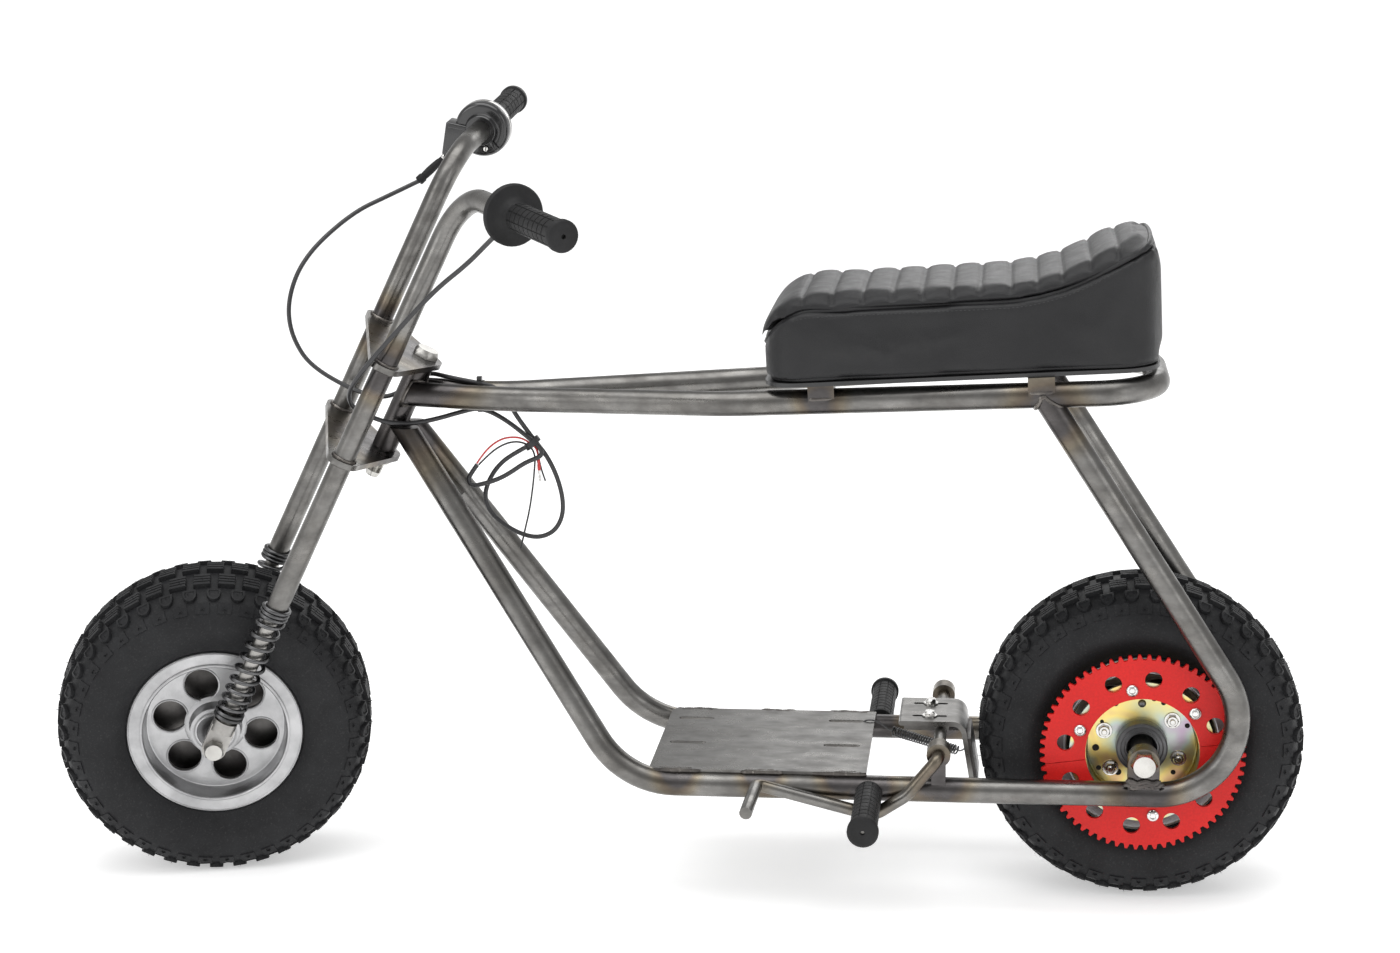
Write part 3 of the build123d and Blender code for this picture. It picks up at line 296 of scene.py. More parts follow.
def red_anodised(name):
    """Satin red anodised plate with a fine grain."""
    material, tree, shader = material_tree(name)
    grain = noise_node(tree, place_node(tree), 420.0, 3.0)
    cloud = noise_node(tree, place_node(tree), 14.0, 3.0)
    colour = ramp_node(tree, cloud, [(0.3, (0.60, 0.0085, 0.0065)), (0.7, (0.70, 0.0115, 0.0085))])
    specks = ramp_node(tree, grain, [(0.35, (0.86, 0.80, 0.80)), (0.65, (1.0, 1.0, 1.0))])
    tree.links.new(mix_node(tree, 1.0, colour, specks, "MULTIPLY"), shader.inputs["Base Color"])
    set_inputs(shader, Metallic=0.0, Roughness=0.46, Specular_IOR_Level=0.35)
    bump_node(tree, shader, grain, 0.12, 0.0003)
    return material


def rubber(name, light, dark, dust=0.0, grain_scale=500.0):
    """Black rubber with a matt bloom and, where it is used, pale dust."""
    material, tree, shader = material_tree(name)
    cloud = noise_node(tree, place_node(tree), 26.0, 6.0, 0.7)
    grain = noise_node(tree, place_node(tree), grain_scale, 4.0)
    colour = ramp_node(tree, cloud, [(0.3, dark), (0.7, light)])
    if dust:
        specks = ramp_node(tree, grain, [(0.55, grey(0.0)), (0.75, grey(dust))])
        colour = mix_node(tree, specks, colour, (0.25, 0.24, 0.23))
    tree.links.new(colour, shader.inputs["Base Color"])
    tree.links.new(ramp_node(tree, cloud, [(0.3, grey(0.62)), (0.7, grey(0.48))]), shader.inputs["Roughness"])
    set_inputs(shader, Specular_IOR_Level=0.22)
    bump_node(tree, shader, grain, 0.35, 0.0006)
    return material


def vinyl(name):
    """Black seat vinyl with a leather grain, a soft sheen and faint creases."""
    material, tree, shader = material_tree(name)
    grain = tree.nodes.new("ShaderNodeTexVoronoi")
    grain.feature = "DISTANCE_TO_EDGE"
    set_inputs(grain, Scale=620.0)
    tree.links.new(place_node(tree), grain.inputs["Vector"])
    cells = ramp_node(tree, grain.outputs["Distance"], [(0.0, grey(0.0)), (0.22, grey(1.0))])
    creases = noise_node(tree, place_node(tree), 70.0, 5.0, 0.6)
    cloud = noise_node(tree, place_node(tree), 9.0, 3.0)
    colour = ramp_node(tree, cloud, [(0.3, (0.011, 0.011, 0.012)), (0.7, (0.019, 0.019, 0.020))])
    tree.links.new(colour, shader.inputs["Base Color"])
    tree.links.new(ramp_node(tree, creases, [(0.3, grey(0.46)), (0.7, grey(0.36))]), shader.inputs["Roughness"])
    height = math_node(tree, "ADD", cells, math_node(tree, "MULTIPLY", creases, 1.4))
    bump_node(tree, shader, height, 0.3, 0.0005)
    set_inputs(shader, Specular_IOR_Level=0.32)
    return material


def moulded(name, colour, rough, coat=0.0):
    """Moulded plastic or a coated wire with a faint orange peel."""
    material, tree, shader = material_tree(name)
    peel = noise_node(tree, place_node(tree), 240.0, 3.0)
    cloud = noise_node(tree, place_node(tree), 40.0, 3.0)
    dark = tuple(c * 0.8 for c in colour)
    tree.links.new(ramp_node(tree, cloud, [(0.3, dark), (0.7, colour)]), shader.inputs["Base Color"])
    set_inputs(shader, Roughness=rough, Coat_Weight=coat)
    bump_node(tree, shader, peel, 0.1, 0.0003)
    return material


# Mesh helpers.
def mesh_piece(name, verts, faces, material, body, slot, place=None, sharp_deg=40):
    """A mesh object that rides on a body, or on none where no body is given."""
    mesh = bpy.data.meshes.new(name)
    if place is not None:
        verts = [place @ Vector(v) for v in verts]
    mesh.from_pydata([tuple(v) for v in verts], [], faces)
    mesh.validate()
    mesh.update()
    piece = new_object(name, mesh)
    mesh.materials.append(material)
    mesh.polygons.foreach_set("use_smooth", [True] * len(mesh.polygons))
    mesh.set_sharp_from_angle(angle=math.radians(sharp_deg))
    if body:
        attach(piece, body)
    return piece


class Shape:
    """Vertices and faces gathered from several forms."""

    def __init__(self):
        self.verts = []
        self.faces = []

    def add(self, verts, faces, place=None):
        start = len(self.verts)
        if place is not None:
            verts = [place @ Vector(v) for v in verts]
        self.verts += [Vector(v) for v in verts]
        self.faces += [tuple(i + start for i in f) for f in faces]

    def piece(self, name, material, body, **options):
        return mesh_piece(name, self.verts, self.faces, material, body, **options)


def ring_faces(low, high, count):
    """The faces between two rings of vertices."""
    return [(low + k, low + (k + 1) % count, high + (k + 1) % count, high + k) for k in range(count)]


def ring_points(point, side, up, size, segments):
    """A ring of points about a point of a path."""
    turns = [2 * math.pi * k / segments for k in range(segments)]
    return [point + (side * math.cos(turn) + up * math.sin(turn)) * size for turn in turns]


def revolved(profile, segments=64, closed=True, axis="Y"):
    """A solid of revolution about an axis, from (place along it, radius) points."""
    verts = []
    for along, radius in profile:
        for k in range(segments):
            turn = 2 * math.pi * k / segments
            across, up = radius * math.cos(turn), radius * math.sin(turn)
            verts.append((across, along, up) if axis == "Y" else (across, up, along))
    faces = []
    count = len(profile)
    for i in range(count if closed else count - 1):
        faces += ring_faces(i * segments, ((i + 1) % count) * segments, segments)
    return verts, faces


def turned(profile, segments):
    """An open surface of revolution about the z axis."""
    return revolved(profile, segments, closed=False, axis="Z")


def path_frames(points):
    """Frames that follow a path without twisting, as (point, side, up) rows."""
    points = [Vector(p) for p in points]
    tangents = []
    for i in range(len(points)):
        ahead = points[min(i + 1, len(points) - 1)]
        behind = points[max(i - 1, 0)]
        tangents.append((ahead - behind).normalized())
    side = tangents[0].orthogonal().normalized()
    rows = []
    for point, tangent in zip(points, tangents):
        side = (side - tangent * side.dot(tangent)).normalized()
        rows.append((point, side, tangent.cross(side)))
    return rows


def swept(points, radius, segments=12):
    """A tube along points. The radius is a number or a function of the share of the way along."""
    verts, faces = [], []
    rows = path_frames(points)
    last = len(rows) - 1
    for i, (point, side, up) in enumerate(rows):
        size = radius(i / last) if callable(radius) else radius
        verts += ring_points(point, side, up, size, segments)
    for i in range(last):
        faces += ring_faces(i * segments, (i + 1) * segments, segments)
    faces.append(tuple(range(segments))[::-1])
    faces.append(tuple(last * segments + k for k in range(segments)))
    return verts, faces


def closed_tube(shape, points, radius, segments=10):
    """Adds a tube round a closed path. The radius is a number or a function of the place in the path."""
    rows = path_frames(points + points[:1])[:-1]
    verts, faces = [], []
    for i, (point, side, up) in enumerate(rows):
        size = radius(i) if callable(radius) else radius
        verts += ring_points(point, side, up, size, segments)
        faces += ring_faces(i * segments, ((i + 1) % len(rows)) * segments, segments)
    shape.add(verts, faces)


def flat_ring(shape, centre, radius, thick, segments=48):
    """Adds a ring of round section that faces along the y axis."""
    turns = [2 * math.pi * k / segments for k in range(segments)]
    points = [centre + Vector((radius * math.cos(turn), 0, radius * math.sin(turn))) for turn in turns]
    closed_tube(shape, points, thick, 8)


def hex_head(across, height, chamfer=0.12):
    """A hexagon head on the plane z = 0, with its top corners turned off."""
    verts = []
    count = 24
    turns = [2 * math.pi * k / count for k in range(count)]
    for z, corner_drop in ((0.0, 0.0), (height * (1 - chamfer * 1.6), 0.33)):
        for turn in turns:
            sector = (turn + math.pi / 6) % (math.pi / 3) - math.pi / 6
            flat = across / 2 / math.cos(sector)
            verts.append((flat * math.cos(turn), flat * math.sin(turn), z - (flat - across / 2) * corner_drop))
    top = across * 0.46
    verts += [(top * math.cos(turn), top * math.sin(turn), height) for turn in turns]
    faces = ring_faces(0, count, count) + ring_faces(count, 2 * count, count)
    faces.append(tuple(2 * count + k for k in range(count)))
    faces.append(tuple(range(count))[::-1])
    return verts, faces


def facing_matrix(point, direction, x_hint=Vector((1, 0, 0))):
    x, y, z = facing(direction, x_hint)
    return axes(Vector(point), x, y, z)


def spline_curve(name, route, step_count):
    """A NURBS curve whose control points are the route."""
    curve = bpy.data.curves.new(name, "CURVE")
    curve.dimensions = "3D"
    curve.resolution_u = step_count
    spline = curve.splines.new("NURBS")
    spline.points.add(len(route) - 1)
    for point, place in zip(spline.points, route):
        point.co = (*place, 1.0)
    spline.order_u = 3
    spline.use_endpoint_u = True
    return curve


def spline_points(route, step_count=14):
    """Points along the spline of a route."""
    curve = spline_curve("route", route, step_count)
    holder = new_object("route", curve)
    bpy.context.view_layer.update()
    mesh = bpy.data.meshes.new_from_object(holder)
    points = [v.co.copy() for v in mesh.vertices]
    bpy.data.objects.remove(holder)
    bpy.data.curves.remove(curve)
    bpy.data.meshes.remove(mesh)
    return points


rear_mm = rear_frame @ Matrix.Scale(MM, 4)
front_mm = front_frame @ Matrix.Scale(MM, 4)


def at_mm(point, direction, x_hint=Vector((1, 0, 0))):
    """A frame in millimetres at a point, with its z axis along a direction."""
    return facing_matrix(point, direction, x_hint) @ Matrix.Scale(MM, 4)


# Floor, lights and background.
def make_stage():
    half = 60.0
    mesh = bpy.data.meshes.new("floor")
    corners = [(x, y, ground_z) for x, y in ((-half, -half), (half, -half), (half, half), (-half, half))]
    mesh.from_pydata(corners, [], [(0, 1, 2, 3)])
    floor = new_object("floor", mesh)
    material, tree, shader = material_tree("floor_paper")
    cloud = noise_node(tree, place_node(tree), 1.2, 3.0)
    tree.links.new(ramp_node(tree, cloud, [(0.3, grey(0.90)), (0.7, grey(0.92))]), shader.inputs["Base Color"])
    set_inputs(shader, Emission_Color=(1.0, 1.0, 1.0, 1.0), Emission_Strength=0.42, Roughness=0.85,
               Specular_IOR_Level=0.2)
    mesh.materials.append(material)

    def area_light(name, place, target, size, power, size_y):
        data = bpy.data.lights.new(name, "AREA")
        data.energy = power
        data.shape = "RECTANGLE"
        data.size = size
        data.size_y = size_y
        light = new_object(name, data)
        light.location = place
        light.rotation_euler = (Vector(target) - Vector(place)).to_track_quat("-Z", "Y").to_euler()

    area_light("overhead", (-0.3, -0.4, 2.4), (-0.3, 0, -0.4), 3.0, 34, 2.2)
    area_light("front_left", (-2.6, -2.2, 1.0), (-0.4, 0, -0.3), 1.4, 17, 1.8)
    area_light("front_right", (2.2, -2.4, 0.9), (-0.1, 0, -0.3), 1.2, 10, 1.8)
    area_light("rear_rim", (0.3, 2.8, 1.2), (-0.3, 0, -0.3), 1.8, 14, 1.2)
    sun_data = bpy.data.lights.new("sky_sun", "SUN")
    sun_data.energy = 0.75
    sun_data.angle = math.radians(70)
    sun = new_object("sky_sun", sun_data)
    sun.rotation_euler = (math.radians(14), math.radians(-8), 0)

    world = bpy.data.worlds.new("studio")
    world.use_nodes = True
    tree = world.node_tree
    tree.nodes.clear()
    output = tree.nodes.new("ShaderNodeOutputWorld")
    background = tree.nodes.new("ShaderNodeBackground")
    where = tree.nodes.new("ShaderNodeTexCoord")
    split = tree.nodes.new("ShaderNodeSeparateXYZ")
    tree.links.new(where.outputs["Generated"], split.inputs["Vector"])
    lift = math_node(tree, "MULTIPLY_ADD", split.outputs["Z"], 0.5)
    levels = ((0.0, 0.50), (0.495, 0.50), (0.505, 1.3), (0.62, 0.75), (1.0, 0.55))
    sky = ramp_node(tree, lift, [(place, grey(level)) for place, level in levels])
    tree.links.new(sky, background.inputs["Color"])
    set_inputs(background, Strength=0.8)
    tree.links.new(background.outputs["Background"], output.inputs["Surface"])
    bpy.context.scene.world = world
    bpy.context.scene.view_settings.view_transform = "Standard"


make_camera()
make_stage()


# Materials. Welds leave heat marks on the bare tubes around them.
def weld_places():
    """The welds as (point, reach of the heat mark)."""
    places = [(on_fork(0, 0, rise), 0.10) for rise in (352, 400, 440)]
    for side in (-1, 1):
        floor = side * floor_half_width
        places += [
            (from_axle(-peg_lead, floor, floor_height), 0.045), (from_axle(-brake_lead, floor, -20), 0.05),
            (from_axle(0, floor, -28), 0.055), (from_axle(-100, side * 88, 350), 0.06),
        ]
        places += [(from_axle(-lead, side * across, 362), 0.04) for lead, across in zip(seat_tab_leads, (70, 88))]
        places += [(from_axle(x, floor, -25), 0.035) for x in (-470, -382, -303)]
    return places


plate_heat = [(on_fork(-45, side * fork_half_width, 448), 0.05) for side in (-1, 1)]
tube_steel = bare_steel("steel_tube_bare", (1, 0, 0), 1.0, weld_places())
fork_steel = bare_steel("steel_fork_bare", steer_up, 1.0, plate_heat)
plate_steel = bare_steel("steel_plate_bare", (0, 1, 0), 0.85)
spring_steel = cast_metal("steel_spring", (0.16, 0.16, 0.165), (0.07, 0.07, 0.07), 1.0, (0.22, 0.34), 700, 0.1)
dark_steel = cast_metal("steel_dark", (0.13, 0.125, 0.12), (0.055, 0.05, 0.05), 1.0, (0.30, 0.45), 600, 0.15)
hub_steel = cast_metal("steel_hub", (0.20, 0.20, 0.205), (0.11, 0.11, 0.112), 1.0, (0.28, 0.42), 500, 0.15)
weld_steel = cast_metal("steel_weld", (0.20, 0.185, 0.17), (0.055, 0.050, 0.050), 1.0, (0.26, 0.52), 260, 0.6)
bearing_bright = cast_metal("steel_bearing", grey(0.66), (0.45, 0.45, 0.46), 1.0, (0.16, 0.28), 500, 0.08)
zinc = cast_metal("zinc_plate", (0.62, 0.61, 0.58), (0.42, 0.41, 0.39), 1.0, (0.22, 0.36), 500, 0.1)
slider_zinc = cast_metal("zinc_slider", (0.42, 0.41, 0.39), (0.26, 0.25, 0.24), 1.0, (0.24, 0.40), 500, 0.12)
chrome = cast_metal("bolt_bright", (0.78, 0.77, 0.75), (0.60, 0.59, 0.57), 1.0, (0.12, 0.22), 400, 0.06)
aluminium = cast_metal("aluminium_cast", (0.50, 0.50, 0.505), (0.36, 0.36, 0.365), 1.0, (0.30, 0.46), 380, 0.35)
gold = gold_zinc("zinc_gold")
red_plate = red_anodised("aluminium_red")
# Near-black material for discs that paint the shade inside holes.
painted_hole_shade = moulded("hole_painted_shade", grey(0.004), 0.7)
tyre_black = rubber("rubber_tyre", (0.0155, 0.016, 0.0175), (0.0095, 0.0095, 0.0105), 0.08)
grip_black = rubber("rubber_grip", (0.020, 0.020, 0.021), grey(0.012), 0.0, 700)
seat_black = vinyl("vinyl_seat")
thread_grey = moulded("thread", (0.035, 0.035, 0.037), 0.6)
black_plastic = moulded("plastic_black", (0.022, 0.022, 0.023), 0.38, 0.2)
black_gloss = moulded("plastic_gloss", (0.010, 0.010, 0.011), 0.18, 0.6)
red_sleeve = moulded("wire_red", (0.62, 0.03, 0.03), 0.35, 0.3)
wire_black = moulded("wire_black", (0.016, 0.016, 0.017), 0.35, 0.2)
cord_black = moulded("cord_sheath", (0.026, 0.026, 0.028), 0.42, 0.15)

slot_materials = {
    "steel_tube": tube_steel, "steel_plate": tube_steel, "dark_steel": dark_steel, "zinc_hardware": zinc,
    "gold_zinc": gold, "cast_aluminium": aluminium, "red_anodised": red_plate, "tyre_rubber": tyre_black,
    "grip_rubber": grip_black, "black_plastic": black_plastic, "seat_vinyl": seat_black,
    "bearing_steel": bearing_bright, "red_plastic": red_sleeve,
}
node_materials = {
    "left_fork_tube": fork_steel, "right_fork_tube": fork_steel, "engine_plate": plate_steel,
    "left_slider": slider_zinc, "right_slider": slider_zinc, "stem_bolt": zinc, "hub_housing": hub_steel,
}


def dress_nodes():
    """Gives every CAD node its material."""
    for name, obj in frame["nodes"].items():
        material = node_materials.get(name) or slot_materials[node_slots[name]]
        obj.data.materials.clear()
        obj.data.materials.append(material)


# Cords. Each route is a table of points from the rear axle: behind it, to its right, above it.
cable_route = (
    (-773.5, 165.5, 549.4), (-804.9, 150.9, 535.0), (-835.4, 129.1, 521.6), (-867.2, 98.4, 494.5),
    (-884.2, 76.2, 470.9), (-892.4, 61.6, 446.4), (-894.8, 53.8, 420.9), (-888.2, 48.4, 395.1),
    (-870.6, 42.6, 369.5), (-829.6, 38.5, 345.9), (-786.0, 26.0, 335.5), (-756.5, 29.4, 354.8),
    (-740.0, 22.0, 367.0), (-712.0, 8.0, 363.5), (-683.0, 3.3, 359.2), (-664.0, 0.0, 355.9),
    (-652.0, 0.0, 343.0), (-643.5, 1.4, 325.5), (-625.2, 3.2, 299.1), (-611.8, 3.5, 281.4),
    (-602.0, 4.0, 259.0), (-596.9, 4.5, 235.5), (-598.5, 5.0, 216.0), (-608.5, 5.3, 200.2),
    (-626.2, 5.6, 194.0), (-645.3, 6.0, 199.0), (-662.0, 6.0, 209.0), (-675.4, 6.0, 221.8),
    (-680.6, 6.0, 238.4), (-675.3, 6.0, 255.6), (-665.2, 5.5, 270.8), (-650.9, 4.5, 282.9),
    (-629.1, 3.2, 294.6),
)
lead_route = (
    (-615.8, -183.2, 549.4), (-624.5, -172.5, 536.5), (-637.3, -158.4, 525.0), (-658.6, -148.2, 504.7),
    (-694.8, -131.0, 477.0), (-736.6, -117.0, 434.9), (-763.4, -111.0, 406.6), (-785.2, -101.0, 382.3),
    (-797.4, -86.0, 365.1), (-799.9, -70.0, 350.6), (-795.7, -55.0, 340.4), (-786.2, -40.0, 331.1),
    (-773.5, -26.5, 322.7), (-755.6, -18.0, 319.5),
    (-738.9, -17.0, 321.6), (-720.7, -13.0, 325.1), (-703.1, -4.0, 329.1), (-681.0, 3.3, 333.8),
    (-655.0, 0.5, 322.0), (-625.2, -3.2, 299.1), (-616.8, -3.4, 291.2), (-616.9, -4.2, 283.5),
    (-633.5, -5.5, 277.8), (-651.0, -7.0, 265.8), (-664.7, -7.5, 258.8), (-681.2, -7.5, 253.9),
    (-690.5, -7.0, 252.0), (-694.9, -6.5, 258.2), (-691.6, -6.0, 265.1), (-684.6, -6.0, 274.6),
)
red_route = (
    (-684.9, -6.0, 276.0), (-677.5, -5.5, 286.8), (-667.9, -5.0, 296.2), (-657.1, -4.5, 302.4),
    (-646.5, -3.5, 303.8), (-637.5, -2.0, 302.4), (-627.8, -0.4, 296.1), (-621.4, -0.4, 289.5),
    (-621.0, -0.4, 280.0),
)
black_route = (
    (-682.9, -6.0, 274.6), (-672.2, -5.5, 285.5), (-661.3, -5.0, 293.6), (-650.7, -3.5, 298.1),
    (-640.2, -2.0, 298.7), (-629.4, -0.6, 294.3), (-624.1, -0.5, 284.3), (-625.5, -0.8, 268.4),
    (-627.7, -1.0, 249.6), (-631.8, -1.5, 225.2), (-637.8, -2.0, 202.0), (-642.0, -2.5, 185.0),
)
cord_diameter = 4.8
wire_diameter = 2.0


def path_length(points):
    return sum((b - a).length for a, b in zip(points, points[1:]))


def crossing_cord(name, node, route):
    """A cord that runs from the fork to the frame along a curved route, as one tube on neither body."""
    points = spline_points([from_axle(*p) for p in route])
    shape = Shape()
    shape.add(*swept(points, cord_diameter / 2 * MM, 12))
    cord = shape.piece(name, cord_black, None, slot="black_plastic", sharp_deg=60)
    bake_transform(cord)
    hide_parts(node)


def wire_curve(name, node, route, material, with_pieces=()):
    """A thin wire as a smooth curve that rides on the frame."""
    places = [from_axle(*p) for p in route]
    curve = spline_curve(name, places, 12)
    curve.bevel_depth = wire_diameter / 2 * MM
    curve.bevel_resolution = 3
    curve.use_fill_caps = True
    curve.materials.append(material)
    wire = new_object(name, curve)
    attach(wire, "frame")
    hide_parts(node)
    length = path_length(spline_points(places))


def make_knot():
    """The tie at the knot: close turns round the cords, and its free tail."""
    centre = from_axle(-627, 0, 297)
    along = (from_axle(*cable_route[19]) - from_axle(*cable_route[18])).normalized()
    place = at_mm(centre, along, Vector((0, 1, 0)))
    shape = Shape()
    points = []
    turns, steps = 4, 28
    for k in range(turns * steps + 1):
        turn = 2 * math.pi * k / steps
        wave = 0.35 * math.sin(2 * turn + 0.6)
        points.append((7.4 * math.cos(turn) + wave, 8.4 * math.sin(turn), -3.1 + 6.2 * k / (turns * steps) + wave))
    shape.add(*swept(points, 1.05, 8))
    tail = [(7.2, 1.5, 3.0), (8.6, -1.0, 6.5), (6.5, -3.6, 12.0), (4.5, -7.5, 20.0), (3.5, -12.0, 30.0),
            (4.0, -15.5, 40.0)]
    shape.add(*swept(spline_points(tail, 6), 0.95, 8))
    knot = shape.piece("knot_wrap", cord_black, "frame", slot="black_plastic", place=place, sharp_deg=60)
    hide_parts("cord_tie")
    return knot


def make_terminal():
    """The red wire's insulated terminal: a flared sleeve and a crimped barrel with its tongue."""
    end = from_axle(*red_route[-1])
    down = (end - from_axle(*red_route[-2])).normalized()
    sleeve = Shape()
    sleeve.add(*turned([(-0.6, 1.05), (0.0, 1.5), (0.8, 1.8), (3.2, 1.8), (4.0, 1.55), (5.4, 1.5), (6.2, 1.8),
                        (10.6, 1.75), (11.6, 1.6), (12.0, 1.2)], 20))
    barrel = Shape()
    barrel.add(*turned([(11.0, 0.2), (11.2, 1.3), (14.6, 1.35), (15.4, 1.05), (17.4, 1.0), (18.2, 1.35),
                        (21.8, 1.35), (22.4, 1.0), (23.6, 0.9), (24.0, 0.2)], 16))
    place = at_mm(end, down)
    red = sleeve.piece("terminal_sleeve", red_sleeve, "frame", slot="red_plastic", place=place)
    metal = barrel.piece("terminal_barrel", chrome, "frame", slot="zinc_hardware", place=place)
    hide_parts("red_terminal")
    return [red, metal]


def bar_line(side):
    """End of a handlebar side, and the direction in which its grip points."""
    corner = on_fork(-fork_offset / MM, side * fork_half_width, bar_corner_rise)
    back, across, rise = bar_end_place
    end = on_fork(back, side * across, rise)
    return end, (end - corner).normalized()


def throttle_place():
    """Frame in millimetres at the inner end of the right grip, with its z axis outward along the bar."""
    end, outward = bar_line(1)
    return at_mm(end - outward * grip_on_bar * MM, outward, steer_up.cross(outward))


throttle_tilt = math.radians(-14)


def make_boot():
    """The cable's adjuster, its lock nut and the rubber boot below them."""
    start = throttle_place() @ Matrix.Rotation(throttle_tilt, 4, "Z") @ Vector((34.5, -36.0, -12.0))
    line = from_axle(*cable_route[0]) - start
    length = line.length / MM
    place = at_mm(start, line)
    metal = Shape()
    profile = [(-2.0, 0.2), (-2.0, 3.3)]
    for k in range(5):
        profile += [(-1.6 + k * 1.1, 3.3), (-1.1 + k * 1.1, 2.9)]
    profile += [(4.2, 3.4), (8.4, 3.4), (9.0, 3.0), (9.6, 2.2)]
    metal.add(*turned(profile, 24))
    metal.add(*hex_head(6.8, 2.6), place=Matrix.Translation((0, 0, 0.4)))
    metal.piece("cable_adjuster", chrome, "steering", slot="zinc_hardware", place=place)
    soft = Shape()
    soft.add(*turned([(8.6, 2.4), (8.6, 2.9), (11.0, 3.1), (15.0, 3.9), (length * 0.5, 4.4), (length * 0.62, 4.6),
                      (length - 8.2, 4.2), (length - 7.2, 4.1), (length - 6.8, 4.9), (length - 6.2, 5.1),
                      (length - 0.7, 5.1), (length, 4.7), (length, 2.3)], 32))
    boot = soft.piece("cable_boot_rubber", grip_black, "steering", slot="grip_rubber", place=place)
    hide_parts("cable_boot")


def make_cords():
    knot = make_knot()
    crossing_cord("cable_outer", "throttle_cable", cable_route)
    crossing_cord("lead_outer", "switch_lead", lead_route)
    wire_curve("red_wire_curve", "red_wire", red_route, red_sleeve, make_terminal())
    wire_curve("black_wire_curve", "black_wire", black_route, wire_black)
    make_boot()


# Tyres.
carcass = [
    (0, 160), (15, 159.8), (30, 158.6), (43, 155.8), (51, 151.5), (56.5, 145), (60, 136), (61.5, 125), (60.5, 115),
    (56, 104), (50, 96.4), (45.5, 92.4), (42.6, 91.0), (42.6, 80.0),
]
lug_count = 40


def carcass_table():
    """Points and outward normals along the tyre's outside, from the crown to the bead."""
    points = np.array(carcass, dtype=float)
    steps = np.hypot(*np.diff(points, axis=0).T)
    lengths = np.concatenate([[0.0], np.cumsum(steps)])

    def at(t, side=1):
        """(y, r), (normal y, normal r) at a distance from the crown, on a side."""
        y, r = np.interp(t, lengths, points[:, 0]), np.interp(t, lengths, points[:, 1])
        ahead, behind = t + 4, max(t - 4, 0.0)
        dy = np.interp(ahead, lengths, points[:, 0]) - np.interp(behind, lengths, points[:, 0])
        dr = np.interp(ahead, lengths, points[:, 1]) - np.interp(behind, lengths, points[:, 1])
        size = math.hypot(dy, dr)
        return (side * y, r), (side * -dr / size, dy / size)

    return at, lengths


carcass_at, carcass_lengths = carcass_table()


def on_tyre(s, t, height, side, centre_angle):
    """A point on a lug: s mm along the tyre, t mm down from its crown and a height off the carcass."""
    (y, r), (ny, nr) = carcass_at(abs(t), side if t >= 0 else -side)
    radius = r + nr * height
    angle = centre_angle + s / carcass[0][1]
    return (radius * math.cos(angle), y + ny * height, radius * math.sin(angle))


def lug(shape, outline, heights, side, angle):
    """A lug whose outline is stacked in rings of (inset share, height)."""
    middle_s = sum(p[0] for p in outline) / len(outline)
    middle_t = sum(p[1] for p in outline) / len(outline)
    verts, faces = [], []
    count = len(outline)
    for inset, height in heights:
        for s, t in outline:
            verts.append(on_tyre(middle_s + (s - middle_s) * (1 - inset), middle_t + (t - middle_t) * (1 - inset),
                                 height, side, angle))
    for ring in range(len(heights) - 1):
        faces += ring_faces(ring * count, (ring + 1) * count, count)
    faces.append(tuple((len(heights) - 1) * count + k for k in range(count)))
    shape.add(verts, faces)


def ridged_block(shape, t_low, t_high, length, height, grooves, side, angle):
    """A crown block whose top has grooves that run along the tyre."""
    stations = [(t_low, -1.0), (t_low + 0.4, height)]
    pitch = (t_high - t_low) / (grooves + 1)
    for g in range(1, grooves + 1):
        middle = t_low + g * pitch
        stations += [(middle - 1.1, height), (middle - 0.8, height - 2.2), (middle + 0.8, height - 2.2),
                     (middle + 1.1, height)]
    stations += [(t_high - 0.4, height), (t_high, -1.0)]
    half = length / 2
    ends = [(-half, -1.2), (-half + 0.8, 0.0), (half - 0.8, 0.0), (half, -1.2)]
    verts, faces = [], []
    rows = []
    for s, sink in ends:
        rows.append(len(verts))
        for t, h in stations:
            depth = h if sink == 0.0 else max(-1.0, h + sink)
            verts.append(on_tyre(s, t, depth, side, angle))
    for s in (-half, half):
        rows.append(len(verts))
        for t, _ in stations:
            verts.append(on_tyre(s, t, -1.0, side, angle))
    wide = len(stations)
    order = [rows[4], rows[0], rows[1], rows[2], rows[3], rows[5]]
    for low, high in zip(order, order[1:]):
        for k in range(wide - 1):
            faces.append((low + k, low + k + 1, high + k + 1, high + k))
    shape.add(verts, faces)


def whisker(shape, s, t, height, side, angle, lean, rng):
    """A thin moulding hair that leans a little."""
    base = Vector(on_tyre(s, t, height - 0.3, side, angle))
    tip = Vector(on_tyre(s + lean[0], t + lean[1], height + rng.uniform(2.0, 3.4), side, angle))
    shape.add(*swept([base, base.lerp(tip, 0.5) + Vector((rng.uniform(-0.2, 0.2),) * 3), tip],
                     lambda share: 0.42 - 0.28 * share, 4))


